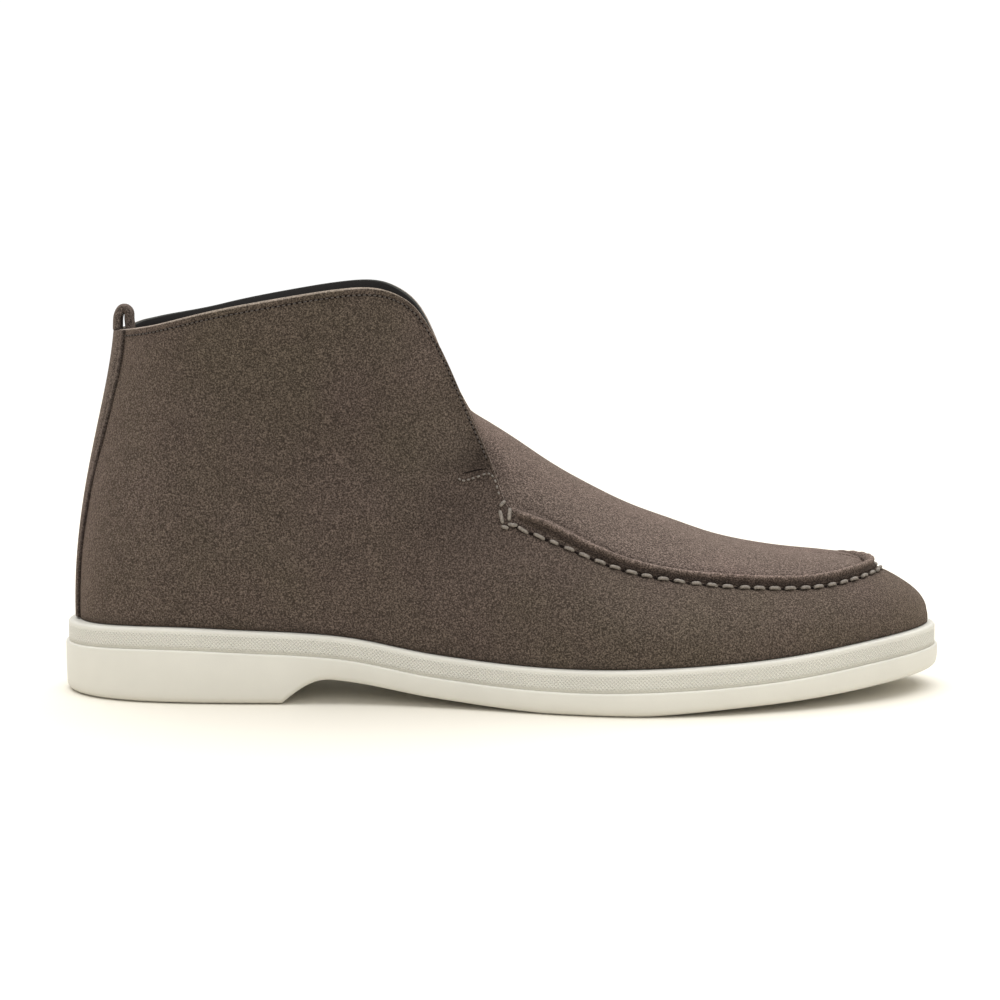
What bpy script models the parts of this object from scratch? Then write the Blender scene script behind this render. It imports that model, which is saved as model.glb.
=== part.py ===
"""A high slip-on loafer for the right foot, with a sewn moccasin apron, an open-fronted collar, a strip and
pull loop up the heel, and a two-layer rubber sole. Metres, +Z up, toe towards +X, outer side towards -Y."""

import math

import bmesh
import bpy
import numpy as np

# Lengths and heights of the whole shoe. Heights are measured from the floor.
SOLE_LENGTH = 0.303
BALL_WIDTH = 0.105
SEAT_HEIGHT = 0.0252
COLLAR_HEIGHT = 0.139

# The rubber sole.
MIDSOLE_THICKNESS = 0.0071
OUTSOLE_THICKNESS = 0.0075
MIDSOLE_INSET = 0.0010
HEEL_LENGTH = 0.0772
BREAST_RUN = 0.0170
TREAD_EDGE = 0.0016
MIDSOLE_EDGE = 0.0010

# The upper.
UPPER_INSET = 0.0036
HEEL_SETBACK = 0.0012
UPPER_WALL = 0.0022
COLLAR_WIDTH = 0.070
THROAT_GAP = 0.040
INNER_SETBACK = 0.0012
INNER_THROAT_SETBACK = 0.0016
INNER_COLLAR_RISE = 0.0016
APRON_WIDTH = 0.070
SEAM_RISE = 0.0325
CREST_HEIGHT = 0.097
BELLY = 0.0050

# The apron, its rolled edge and the end that is tucked under the quarters.
APRON_THICKNESS = 0.0020
ROLL_WIDTH = 0.0026
ROLL_HEIGHT = 0.0024
TUCK_DEPTH = 0.0070

# The insole, the heel strip and the pull loop.
INSOLE_THICKNESS = 0.0035
STRIP_THICKNESS = 0.0011
STRIP_WIDTH = 0.0206
LOOP_WIDTH = 0.0080
LOOP_THICKNESS = 0.0022
LOOP_RISE = 0.0088
LOOP_GRIP = 0.0110

# Pieces that touch in the real shoe keep this gap.
GAP = 0.0003

# The sole's outline from the heel round the outer side, the toe and the inner side.
# Columns: share of SOLE_LENGTH from the heel, share of BALL_WIDTH from the axis, outer side negative.
OUTLINE = [
    (0.000, 0.000),
    (0.027, -0.186),
    (0.150, -0.322),
    (0.350, -0.346),
    (0.490, -0.440),
    (0.630, -0.538),
    (0.790, -0.462),
    (0.920, -0.275),
    (0.984, -0.090),
    (1.000, 0.045),
    (0.977, 0.200),
    (0.885, 0.380),
    (0.725, 0.462),
    (0.560, 0.392),
    (0.420, 0.305),
    (0.290, 0.296),
    (0.150, 0.313),
    (0.027, 0.186),
]
TOE_ROW = 9

# The height of the sole's top. Columns: share of SOLE_LENGTH, share of SEAT_HEIGHT.
SOLE_TOP = [
    (0.000, 0.952),
    (0.057, 0.988),
    (0.107, 1.004),
    (0.156, 1.000),
    (0.205, 0.976),
    (0.254, 0.952),
    (0.293, 0.925),
    (0.338, 0.867),
    (0.407, 0.718),
    (0.451, 0.657),
    (0.490, 0.619),
    (0.574, 0.589),
    (0.648, 0.607),
    (0.736, 0.643),
    (0.825, 0.706),
    (0.913, 0.812),
    (0.968, 0.857),
    (1.000, 0.869),
]

# The thickness of the outsole's layer in front of the heel, more than enough to reach the floor under
# the ball. Columns: share of SOLE_LENGTH, share of OUTSOLE_THICKNESS.
TREAD_LAYER = [
    (0.200, 0.99),
    (0.335, 1.01),
    (0.410, 0.98),
    (0.490, 1.00),
    (0.575, 1.07),
    (0.650, 1.10),
    (0.740, 1.02),
    (0.830, 1.05),
    (0.920, 1.12),
    (1.000, 1.06),
]

# The middle of the foot between the two sides. Columns: share of SOLE_LENGTH, share of BALL_WIDTH.
FOOT_MIDDLE = [
    (0.00, 0.000),
    (0.30, -0.005),
    (0.50, -0.020),
    (0.65, -0.015),
    (0.80, 0.010),
    (0.93, 0.042),
    (1.00, 0.052),
]

# The upper's top edge is one ring: the collar, then the open front edge, then the moccasin seam.
# Columns: share along half of the sole's outline, share of SOLE_LENGTH, share of the stretch's width,
# share of the stretch's height. Widths are of COLLAR_WIDTH, THROAT_GAP and APRON_WIDTH. The first two
# stretches have heights in shares of COLLAR_HEIGHT, and the seam stands above the sole by SEAM_RISE.
COLLAR = [
    (0.000, 0.0643, 0.000, 0.888),
    (0.055, 0.0771, 0.130, 0.892),
    (0.125, 0.1184, 0.315, 0.909),
    (0.190, 0.1735, 0.436, 0.939),
    (0.270, 0.2558, 0.500, 0.974),
    (0.330, 0.3220, 0.479, 0.996),
    (0.365, 0.3613, 0.421, 0.998),
]
THROAT = [
    (0.390, 0.3861, 0.625, 0.980),
    (0.407, 0.4036, 0.550, 0.951),
    (0.424, 0.4208, 0.512, 0.896),
    (0.442, 0.4382, 0.495, 0.821),
    (0.460, 0.4561, 0.500, 0.732),
    (0.474, 0.4720, 0.538, 0.655),
    (0.492, 0.4917, 0.620, 0.553),
    (0.506, 0.5049, 0.720, 0.479),
]
SEAM = [
    (0.525, 0.5280, 0.445, 1.438),
    (0.570, 0.5792, 0.476, 1.222),
    (0.617, 0.6320, 0.497, 1.000),
    (0.680, 0.7013, 0.503, 0.838),
    (0.745, 0.7707, 0.475, 0.745),
    (0.820, 0.8426, 0.400, 0.665),
    (0.875, 0.8829, 0.300, 0.655),
    (0.935, 0.9126, 0.160, 0.655),
    (1.000, 0.9241, 0.000, 0.650),
]

# How the wall rises from the sole to that edge. Columns: share along half of the outline, swell at the
# bottom as a share of BELLY, lower handle as a share of the wall, lean of the top edge in degrees above
# the inward level, upper handle as a share of the wall.
WALL = [
    (0.000, 0.05, 0.45, 84.0, 0.27),
    (0.060, 0.40, 0.38, 88.0, 0.35),
    (0.130, 0.80, 0.36, 96.0, 0.42),
    (0.270, 1.00, 0.35, 100.0, 0.45),
    (0.360, 0.80, 0.33, 92.0, 0.42),
    (0.440, 0.60, 0.30, 80.0, 0.35),
    (0.506, 0.50, 0.35, 65.0, 0.35),
    (0.617, 0.50, 0.42, 42.0, 0.38),
    (0.745, 0.50, 0.45, 38.0, 0.35),
    (0.900, 0.36, 0.48, 30.0, 0.38),
    (1.000, 0.24, 0.50, 25.0, 0.40),
]

# The ridge line over the instep and the toes. Columns: share of SOLE_LENGTH, share of CREST_HEIGHT.
CREST = [
    (0.4115, 1.083),
    (0.4626, 0.987),
    (0.5079, 0.902),
    (0.5531, 0.806),
    (0.5993, 0.724),
    (0.6446, 0.655),
    (0.6908, 0.600),
    (0.7360, 0.548),
    (0.7823, 0.511),
    (0.8285, 0.484),
    (0.8737, 0.469),
    (0.9229, 0.455),
]

# Where each rib of the apron reaches the ridge line.
# Columns: share along half of the outline, share of SOLE_LENGTH.
RIB_ENDS = [
    (0.460, 0.4312),
    (0.506, 0.5000),
    (0.617, 0.6318),
    (0.745, 0.7606),
    (0.875, 0.8344),
    (1.000, 0.8757),
]
TONGUE_START = 0.460
TUCK_END = 0.486
ROLL_START = 0.508
ROLL_FULL = 0.524

# How many columns stand along each stretch of half the outline, and how many rows each surface has.
# Columns of the table: share where the stretch starts, columns in it.
UPPER_COLUMNS = [(0.000, 17), (0.350, 14), (0.520, 22)]
APRON_COLUMNS = [(TONGUE_START, 10), (ROLL_FULL, 22)]
UPPER_ROWS = 10
APRON_ROWS = 6


def spline(knots, values, at):
    """A natural cubic spline through a value at each knot, read at the places asked for."""
    knots, values, at = (np.asarray(a, float) for a in (knots, values, at))
    steps = np.diff(knots)
    size = len(knots)
    matrix, right = np.eye(size), np.zeros((size,) + values.shape[1:])
    slopes = np.diff(values, axis=0) / steps.reshape((-1,) + (1,) * (values.ndim - 1))
    for k in range(1, size - 1):
        matrix[k, k - 1 : k + 2] = steps[k - 1], 2 * (steps[k - 1] + steps[k]), steps[k]
        right[k] = 6 * (slopes[k] - slopes[k - 1])
    bends = np.linalg.solve(matrix, right)
    cell = np.clip(np.searchsorted(knots, at, "right") - 1, 0, size - 2)
    shape = at.shape + (1,) * (values.ndim - 1)
    width = steps[cell].reshape(shape)
    before = (at - knots[cell]).reshape(shape)
    after = width - before
    cubic = (bends[cell] * after**3 + bends[cell + 1] * before**3) / (6 * width)
    line = (values[cell] / width - bends[cell] * width / 6) * after
    return cubic + line + (values[cell + 1] / width - bends[cell + 1] * width / 6) * before


def column(table, name, at):
    """One column of a table with its first column as knots, read smoothly at the places asked for."""
    rows = np.array(table)
    return spline(rows[:, 0], rows[:, name], at)


def ease(value, low, high):
    """0 below low, 1 above high, and a smooth step between them."""
    t = np.clip((np.asarray(value, float) - low) / (high - low), 0, 1)
    return t * t * (3 - 2 * t)


def sole_top(x):
    """Height of the sole's top at a distance from the heel."""
    return SEAT_HEIGHT * column(SOLE_TOP, 1, x / SOLE_LENGTH)


def foot_middle(x):
    """Sideways place of the foot's middle at a distance from the heel."""
    return BALL_WIDTH * column(FOOT_MIDDLE, 1, x / SOLE_LENGTH)


def outline_curve():
    """The closed outline as dense points: outer half and inner half, each from heel to toe."""
    points = np.array(OUTLINE) * (SOLE_LENGTH, BALL_WIDTH)
    lap = 4
    ring = np.concatenate([points[-lap:], points, points[: lap + 1]])
    chords = np.linalg.norm(np.diff(ring, axis=0), axis=1)
    knots = np.concatenate([[0], np.cumsum(chords)])
    dense = 400
    outer = spline(knots, ring, np.linspace(knots[lap], knots[lap + TOE_ROW], dense))
    inner = spline(knots, ring, np.linspace(knots[lap + TOE_ROW], knots[lap + len(points)], dense))
    return outer, inner[::-1]


OUTER_HALF, INNER_HALF = outline_curve()


def outline_point(side, share, inset):
    """A point of the outline and its outward direction. side is -1 for the outer side and 1 for the inner,
    share runs from 0 at the heel to 1 at the toe, and inset moves the point inwards."""
    half = OUTER_HALF if side < 0 else INNER_HALF
    walked = np.concatenate([[0], np.cumsum(np.linalg.norm(np.diff(half, axis=0), axis=1))])
    tangents = np.gradient(half, walked, axis=0)
    places = np.asarray(share, float) * walked[-1]
    point = np.stack([np.interp(places, walked, half[:, k]) for k in (0, 1)], -1)
    along = np.stack([np.interp(places, walked, tangents[:, k]) for k in (0, 1)], -1)
    outward = np.stack([-along[..., 1], along[..., 0]], -1) * side
    ends = (np.asarray(share) <= 0) | (np.asarray(share) >= 1)
    forward = np.where(np.asarray(share) >= 1, 1.0, -1.0)
    outward[ends] = np.stack([forward, np.zeros_like(forward)], -1)[ends]
    outward /= np.linalg.norm(outward, axis=-1, keepdims=True)
    return point - outward * inset, outward


def top_edge_rows():
    """Rows of share, distance from the heel, half width and height for the upper's whole top edge."""
    rows = [(s, x * SOLE_LENGTH, w * COLLAR_WIDTH, h * COLLAR_HEIGHT) for s, x, w, h in COLLAR]
    rows += [(s, x * SOLE_LENGTH, w * THROAT_GAP, h * COLLAR_HEIGHT) for s, x, w, h in THROAT]
    for s, x, w, h in SEAM:
        height = float(sole_top(np.array(x * SOLE_LENGTH))) + h * SEAM_RISE
        rows.append((s, x * SOLE_LENGTH, w * APRON_WIDTH, height))
    return rows


def mirrored_spline(rows, at):
    """A spline along the top edge that passes the heel and the toe smoothly, because it runs on round
    them into the other side. The half width changes its sign there."""
    rows = np.array(rows)
    lap = 4
    flip = np.array([1, -1, 1])
    heel = rows[lap:0:-1]
    toe = rows[-2 : -2 - lap : -1]
    knots = np.concatenate([-heel[:, 0], rows[:, 0], 2 - toe[:, 0]])
    values = np.concatenate([heel[:, 1:] * flip, rows[:, 1:], toe[:, 1:] * flip])
    return spline(knots, values, at)


def top_edge(side, share):
    """Points of the upper's top edge on one side."""
    share = np.asarray(share, float)
    x, half, z = np.moveaxis(mirrored_spline(top_edge_rows(), share), -1, 0)
    if side > 0:
        x = x - INNER_SETBACK * ease(share, 0.27, 0.39) * (1 - ease(share, 0.48, 0.57))
        x = x - INNER_THROAT_SETBACK * ease(share, 0.41, 0.455) * (1 - ease(share, 0.48, 0.55))
        z = z + INNER_COLLAR_RISE * ease(share, 0.02, 0.08) * (1 - ease(share, 0.10, 0.19))
    return np.stack([x, foot_middle(x) * ease(share, 0, 0.2) + side * half, z], -1)


def bezier(points, t):
    """A cubic Bezier curve through the first and last of four points, for an array of t."""
    a, b, c, d = points
    t = np.asarray(t, float)[..., None]
    return a * (1 - t) ** 3 + 3 * b * t * (1 - t) ** 2 + 3 * c * t**2 * (1 - t) + d * t**3


def wall_handles(side, share):
    """The four Bezier points of the wall's column at a share of the outline: the foot, the handle that
    swells out over the sole, the handle below the top edge, and the top edge."""
    share = np.asarray(share, float)
    flat, outward = outline_point(side, share, 0.0)
    inset = UPPER_INSET + HEEL_SETBACK * (1 - ease(share, 0, 0.14))
    flat = flat - outward * inset[..., None]
    foot = np.concatenate([flat, (sole_top(flat[..., 0]) + GAP)[..., None]], -1)
    top = top_edge(side, share)
    height = (top - foot)[..., 2]
    length = np.linalg.norm(top - foot, axis=-1)
    swell, low, lean, high = (column(WALL, k, share) for k in (1, 2, 3, 4))
    outward3 = np.concatenate([outward, np.zeros(share.shape + (1,))], -1)
    up = np.array([0.0, 0.0, 1.0])
    lower = foot + outward3 * (BELLY * swell)[..., None] + up * (height * low)[..., None]
    angle = np.radians(lean)
    direction = -outward3 * np.cos(angle)[..., None] + up * np.sin(angle)[..., None]
    upper = top - direction * (length * high)[..., None]
    return foot, lower, upper, top


def wall_point(side, share, t, depth=0.0):
    """A point of the upper's outer surface, t from 0 at the sole to 1 at the top edge, moved depth into
    the wall along its normal."""
    share, t = np.broadcast_arrays(np.asarray(share, float), np.asarray(t, float))
    point = bezier(wall_handles(side, share), t)
    if np.all(depth == 0):
        return point
    return point - wall_normal(side, share, t) * np.asarray(depth)[..., None]


def wall_normal(side, share, t):
    """The outward unit normal of the upper's outer surface."""
    step = 0.002
    low, high = np.clip(share - step, 0, 1), np.clip(share + step, 0, 1)
    along = bezier(wall_handles(side, high), t) - bezier(wall_handles(side, low), t)
    below, above = np.clip(t - step, 0, 1), np.clip(t + step, 0, 1)
    handles = wall_handles(side, share)
    up = bezier(handles, above) - bezier(handles, below)
    normal = np.cross(up, along) * side
    ends = (share <= 0) | (share >= 1)
    normal[..., 1] = np.where(ends, 0, normal[..., 1])
    return normal / np.linalg.norm(normal, axis=-1, keepdims=True)


def stretch_shares(table, end):
    """Shares of the columns that a table of stretches asks for, up to an end."""
    starts = [row[0] for row in table] + [end]
    parts = [np.linspace(starts[k], starts[k + 1], row[1], endpoint=False) for k, row in enumerate(table)]
    return np.concatenate(parts + [[end]])


def ring_grid(surface, shares):
    """Points of a surface for a full ring of columns: the outer side from heel to toe, then the inner
    side back, without repeating the heel and toe. surface(side, shares) gives rows of points."""
    outer = surface(-1, shares)
    inner = surface(1, shares)
    return np.concatenate([outer, inner[-2:0:-1]])


def add_object(name, vertices, faces, material, sharp_angle=35.0):
    """A named object of a closed mesh with its normals pointing out, shaded smooth."""
    mesh = bpy.data.meshes.new(name)
    mesh.from_pydata([tuple(map(float, v)) for v in vertices], [], [tuple(map(int, f)) for f in faces])
    form = bmesh.new()
    form.from_mesh(mesh)
    bmesh.ops.recalc_face_normals(form, faces=form.faces)
    form.to_mesh(mesh)
    form.free()
    mesh.shade_smooth()
    mesh.set_sharp_from_angle(angle=math.radians(sharp_angle))
    mesh.materials.append(material)
    piece = bpy.data.objects.new(name, mesh)
    bpy.context.scene.collection.objects.link(piece)
    return piece


def material(name, colour, roughness):
    """A Principled material with a colour and a roughness."""
    made = bpy.data.materials.new(name)
    made.use_nodes = True
    shader = made.node_tree.nodes["Principled BSDF"]
    shader.inputs["Base Color"].default_value = (*colour, 1.0)
    shader.inputs["Roughness"].default_value = roughness
    return made


def ring_faces(columns, rows, closed_profile):
    """Quads over a grid of points stored column by column, where the columns close into a ring. A closed
    profile also joins each column's last row to its first."""
    faces = []
    for c in range(columns):
        following = (c + 1) % columns
        for r in range(rows if closed_profile else rows - 1):
            above = (r + 1) % rows
            faces.append((c * rows + r, following * rows + r, following * rows + above, c * rows + above))
    return faces


def ring_solid(name, profile, shares, made_of):
    """A ring-shaped solid from a closed profile in each column. profile(side, shares) gives an array of
    columns, rows and coordinates, listed from the outer foot up the outside and down the inside."""
    grid = ring_grid(profile, shares)
    columns, rows = grid.shape[:2]
    faces = ring_faces(columns, rows, True)
    return add_object(name, grid.reshape(-1, 3), faces, made_of)


def plate_solid(name, stations, edge_profile, made_of):
    """A plate with a shaped edge. edge_profile(side, stations) gives, for each station, the edge's points
    from the bottom face to the top face. The two sides are joined by bands across both faces."""
    outer = edge_profile(-1, stations)
    inner = edge_profile(1, stations)
    count, rows = outer.shape[:2]
    grid = np.concatenate([outer, inner[-2:0:-1]])
    columns = len(grid)
    faces = ring_faces(columns, rows, False)
    across = [(c, (columns - c) % columns) for c in range(count)]
    for row, turned in ((0, False), (rows - 1, True)):
        for (a, b), (c, d) in zip(across, across[1:]):
            corners = [a, b, d, c]
            corners = [v for k, v in enumerate(corners) if v not in corners[:k]]
            face = [v * rows + row for v in corners]
            faces.append(face[::-1] if turned else face)
    return add_object(name, grid.reshape(-1, 3), faces, made_of)


def half_width(side, x, inset):
    """Sideways place of the outline, moved inwards by an inset, at distances from the heel."""
    share = np.linspace(0, 1, 400)
    point, _ = outline_point(side, share, inset)
    return np.interp(x, point[:, 0], point[:, 1])


def sole_stations(inset):
    """Distances from the heel at which the sole is cut: close together round the heel, the heel's
    breast and the toe, and evenly spaced between."""
    start, end = inset, SOLE_LENGTH - inset
    bow = 0.15 * SOLE_LENGTH
    turn = 1 - np.cos(np.linspace(0, math.pi / 2, 8))
    breast = HEEL_LENGTH + BREAST_RUN * np.linspace(0, 1, 7)
    middle = np.linspace(breast[-1], end - bow, 20)[1:-1]
    return np.concatenate([start + bow * turn, breast, middle, end - bow * turn[::-1]])


def sole_bottom(x):
    """Height of the tread: the layer follows the sole's top, but for the flat heel and the ramp at its
    breast, and the forefoot is flat where it meets the floor."""
    tread = OUTSOLE_THICKNESS * column(TREAD_LAYER, 1, np.maximum(x / SOLE_LENGTH, TREAD_LAYER[0][0]))
    layer = np.maximum(sole_top(x) - MIDSOLE_THICKNESS - tread, 0)
    return layer * np.sin(math.pi / 2 * np.clip((x - HEEL_LENGTH) / BREAST_RUN, 0, 1))


def edge_rows(side, stations, inset, steps):
    """Edge points of a sole layer: each step is an extra inset and a function of x for its height. The
    first and last stations shrink with the inset, so each row is its own outline."""
    columns = []
    span = (stations - stations[0]) / (stations[-1] - stations[0])
    for extra, height in steps:
        low, high = inset + extra, SOLE_LENGTH - inset - extra
        x = low + span * (high - low)
        columns.append(np.stack([x, half_width(side, x, inset + extra), height(x)], -1))
    return np.stack(columns, 1)


def build_outsole(rubber):
    """The smooth lower layer with its heel block."""
    seam = lambda x: sole_top(x) - MIDSOLE_THICKNESS - GAP / 2
    steps = [
        (TREAD_EDGE, sole_bottom),
        (TREAD_EDGE * 0.3, lambda x: sole_bottom(x) + TREAD_EDGE * 0.3),
        (0.0, lambda x: sole_bottom(x) + TREAD_EDGE),
        (0.0, lambda x: seam(x) - MIDSOLE_INSET * 0.4),
        (MIDSOLE_INSET * 0.4, seam),
    ]
    stations = sole_stations(0.0)
    return plate_solid("outsole", stations, lambda side, x: edge_rows(side, x, 0.0, steps), rubber)


def build_midsole(rubber):
    """The upper layer of the sole, a textured band set back from the layer below, with a round edge."""
    low = lambda x: sole_top(x) - MIDSOLE_THICKNESS + GAP / 2
    steps = [
        (0.0, low),
        (0.0, lambda x: sole_top(x) - MIDSOLE_EDGE),
        (MIDSOLE_EDGE * 0.3, lambda x: sole_top(x) - MIDSOLE_EDGE * 0.3),
        (MIDSOLE_EDGE, sole_top),
    ]
    stations = sole_stations(MIDSOLE_INSET)
    profile = lambda side, x: edge_rows(side, x, MIDSOLE_INSET, steps)
    return plate_solid("midsole", stations, profile, rubber)


def build_insole(leather):
    """The footbed that lies on the sole inside the upper."""
    inset = UPPER_INSET + HEEL_SETBACK + UPPER_WALL + 4 * GAP
    edge = 0.25 * INSOLE_THICKNESS
    steps = [
        (0.0, lambda x: sole_top(x) + GAP),
        (0.0, lambda x: sole_top(x) + GAP + INSOLE_THICKNESS - edge),
        (edge, lambda x: sole_top(x) + GAP + INSOLE_THICKNESS),
    ]
    stations = sole_stations(inset)
    return plate_solid("insole", stations, lambda side, x: edge_rows(side, x, inset, steps), leather)


def build_upper(suede):
    """The quarters and the wall round the toes as one hollow shell, open at the collar, the front and
    the apron, and underneath."""
    rows = np.linspace(0, 1, UPPER_ROWS + 1)

    def profile(side, shares):
        share, t = np.meshgrid(shares, rows, indexing="ij")
        outside = wall_point(side, share, t)
        inside = wall_point(side, share, t, np.full(share.shape, UPPER_WALL))
        inside[:, 0, 2] = outside[:, 0, 2]
        return np.concatenate([outside, inside[:, ::-1]], 1)

    return ring_solid("upper", profile, stretch_shares(UPPER_COLUMNS, 1.0), suede)


def apron_rib(side, shares):
    """Closed profiles of the apron in each column: along its top from the ridge line to the edge, round
    the rolled edge that laps over the wall, and back underneath."""
    shares = np.asarray(shares, float)
    ones = np.ones_like(shares)
    edge = wall_point(side, shares, ones)
    normal = wall_normal(side, shares, ones)
    handles = wall_handles(side, shares)
    inward = handles[3] - handles[2]
    inward /= np.linalg.norm(inward, axis=-1, keepdims=True)
    normal = normal - inward * (normal * inward).sum(-1, keepdims=True)
    normal /= np.linalg.norm(normal, axis=-1, keepdims=True)

    sink = (UPPER_WALL + 2 * GAP) * (1 - ease(shares, TUCK_END, ROLL_START))
    tuck = TUCK_DEPTH * (1 - ease(shares, TONGUE_START, TUCK_END))
    roll = ease(shares, ROLL_START, ROLL_FULL)
    crest_x = SOLE_LENGTH * column(RIB_ENDS, 1, shares)
    crest = np.stack(
        [crest_x, foot_middle(crest_x), CREST_HEIGHT * column(CREST, 1, crest_x / SOLE_LENGTH)], -1
    )

    def skin(depth):
        """Points from the ridge line to the edge, a depth under the apron's outer face."""
        start = edge - normal * (sink + depth)[..., None]
        end = crest - np.array([0, 0, 1]) * depth[..., None]
        length = np.linalg.norm(end - start, axis=-1)[..., None]
        level = (start - end) * (1, 1, 0)
        level /= np.linalg.norm(level, axis=-1, keepdims=True)
        handles = (start, start + inward * 0.36 * length, end + level * 0.42 * length, end)
        return np.stack([bezier(handles, ones * t) for t in np.linspace(1, 0.12, APRON_ROWS)], 1)

    def near_edge(inward_by, raised_by):
        """A point set from the wall's top edge: inwards along the surface and up along its normal."""
        tucked = np.clip(tuck / (handles[3] - handles[0])[..., 2], 0, 0.5)
        base = wall_point(side, shares, 1 - tucked)
        base_normal = np.where(tucked[..., None] > 0, wall_normal(side, shares, 1 - tucked), normal)
        return base + inward * inward_by[..., None] + base_normal * raised_by[..., None]

    crown = ROLL_HEIGHT * roll
    clear = 2 * GAP * (1 - roll)
    body = -sink
    outer = skin(0 * ones)
    rim = [
        near_edge(ROLL_WIDTH * ones, body + 0.25 * crown),
        near_edge(0.62 * ROLL_WIDTH * ones, body + 0.85 * crown),
        near_edge(clear + 0.28 * ROLL_WIDTH * ones, body + crown),
        near_edge(clear - 0.05 * ROLL_WIDTH * roll, body + 0.9 * crown),
        near_edge(clear - 0.20 * ROLL_WIDTH * roll, body + GAP * roll),
        near_edge(2 * GAP * ones, body + GAP * roll),
        near_edge(2 * GAP * ones, body - 0.9 * APRON_THICKNESS),
    ]
    under = skin(APRON_THICKNESS * ones)[:, ::-1]
    return np.concatenate([outer, np.stack(rim, 1), under], 1)


def build_apron(suede):
    """The apron over the instep and toes, with its rolled edge and the end under the quarters."""
    shares = stretch_shares(APRON_COLUMNS, 1.0)
    grid = ring_grid(apron_rib, shares)
    grid = np.concatenate([grid, apron_rib(1, shares[:1])])
    middle = len(shares) - 1
    columns, rows = grid.shape[:2]
    index = np.arange(columns * rows).reshape(columns, rows)
    for k in range(1, middle + 1):
        index[middle + k, 0] = index[middle - k, 0]
        index[middle + k, -1] = index[middle - k, -1]
    faces = []
    for c in range(columns - 1):
        for r in range(rows - 1):
            faces.append((index[c, r], index[c + 1, r], index[c + 1, r + 1], index[c, r + 1]))
    for c, turned in ((0, False), (columns - 1, True)):
        for r in range(rows // 2):
            face = [index[c, r], index[c, r + 1], index[c, rows - 2 - r], index[c, rows - 1 - r]]
            face = [v for k, v in enumerate(face) if v not in face[:k]]
            if len(face) > 2:
                faces.append(face[::-1] if turned else face)
    faces = [face for face in faces if len(set(face)) == len(face)]
    used = sorted(set(v for face in faces for v in face))
    place = {v: k for k, v in enumerate(used)}
    points = grid.reshape(-1, 3)[used]
    return add_object("apron", points, [[place[v] for v in face] for face in faces], suede)


def walk_share(t, distances):
    """Shares along the outline at which the wall's row t has run these distances from the heel's back."""
    shares = np.linspace(0, 0.16, 60)
    path = wall_point(-1, shares, t)
    walked = np.concatenate([[0], np.cumsum(np.linalg.norm(np.diff(path, axis=0), axis=1))])
    return np.interp(distances, walked, shares)


def build_heel_strip(suede):
    """The strip that covers the back seam from the sole to the collar, wider at the top."""
    rows = np.linspace(0, 1, 16)
    across = np.array([-1.0, -0.82, -0.4, 0.0, 0.4, 0.82, 1.0])
    proud = np.array([0.45, 0.95, 1.0, 1.0, 1.0, 0.95, 0.45])
    sections = []
    for t in rows:
        half = STRIP_WIDTH / 2 * (0.72 + 0.28 * t)
        lift = 0.0 if t > 0 else GAP
        ring = []
        for heights in (GAP + STRIP_THICKNESS * proud, np.full(len(across), GAP)):
            row = []
            for place, height in zip(across, heights):
                side = 1 if place > 0 else -1
                share = walk_share(t, abs(place) * half)
                row.append(wall_point(side, share, np.array(t), np.array(-height)) + (0, 0, lift))
            ring.append(np.array(row))
        sections.append(np.concatenate([ring[0], ring[1][::-1]]))
    return tube_solid("heel_strip", sections, suede)


def tube_solid(name, sections, made_of):
    """A solid through a list of closed sections, with a flat cap at each end."""
    rows = len(sections[0])
    count = len(sections)
    faces = []
    for c in range(count - 1):
        for r in range(rows):
            above = (r + 1) % rows
            faces.append((c * rows + r, c * rows + above, (c + 1) * rows + above, (c + 1) * rows + r))
    last = (count - 1) * rows
    for r in range(rows // 2 - 1):
        low = (r, rows - 1 - r, rows - 2 - r, r + 1)
        faces.append(low)
        faces.append(tuple(last + v for v in low[::-1]))
    return add_object(name, np.concatenate(sections), faces, made_of)


def loop_path():
    """The middle line of the pull loop in the plane of symmetry: up from the end of the heel strip, over
    the collar and down inside the wall. Gives distances from the heel and heights."""
    half = LOOP_THICKNESS / 2
    outside = GAP + STRIP_THICKNESS - half
    inside = UPPER_WALL + 2 * GAP + half
    ends = wall_point(-1, np.zeros(2), np.array([0.0, 1.0]))
    back, collar = ends[1][[0, 2]]
    grip = LOOP_GRIP / (collar - ends[0][2])
    down = 1 - grip * np.array([0.0, 0.33, 0.66, 1.0])
    inner_leg = wall_point(-1, 0 * down, down, 0 * down + inside)[:, [0, 2]]
    bow = [
        (back - outside, collar + GAP),
        (back - outside + 0.01 * LOOP_RISE, collar + 0.36 * LOOP_RISE),
        (back + 0.04 * LOOP_RISE, collar + 0.68 * LOOP_RISE),
        (back + 0.22 * LOOP_RISE, collar + LOOP_RISE - half),
        (back + 0.40 * LOOP_RISE, collar + 0.72 * LOOP_RISE),
        (back + 0.42 * LOOP_RISE, collar + 0.48 * LOOP_RISE),
        (back + inside, collar + 0.20 * LOOP_RISE),
    ]
    points = np.concatenate([bow, inner_leg])
    knots = np.concatenate([[0], np.cumsum(np.linalg.norm(np.diff(points, axis=0), axis=1))])
    return spline(knots, points, np.linspace(0, knots[-1], 22))


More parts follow.
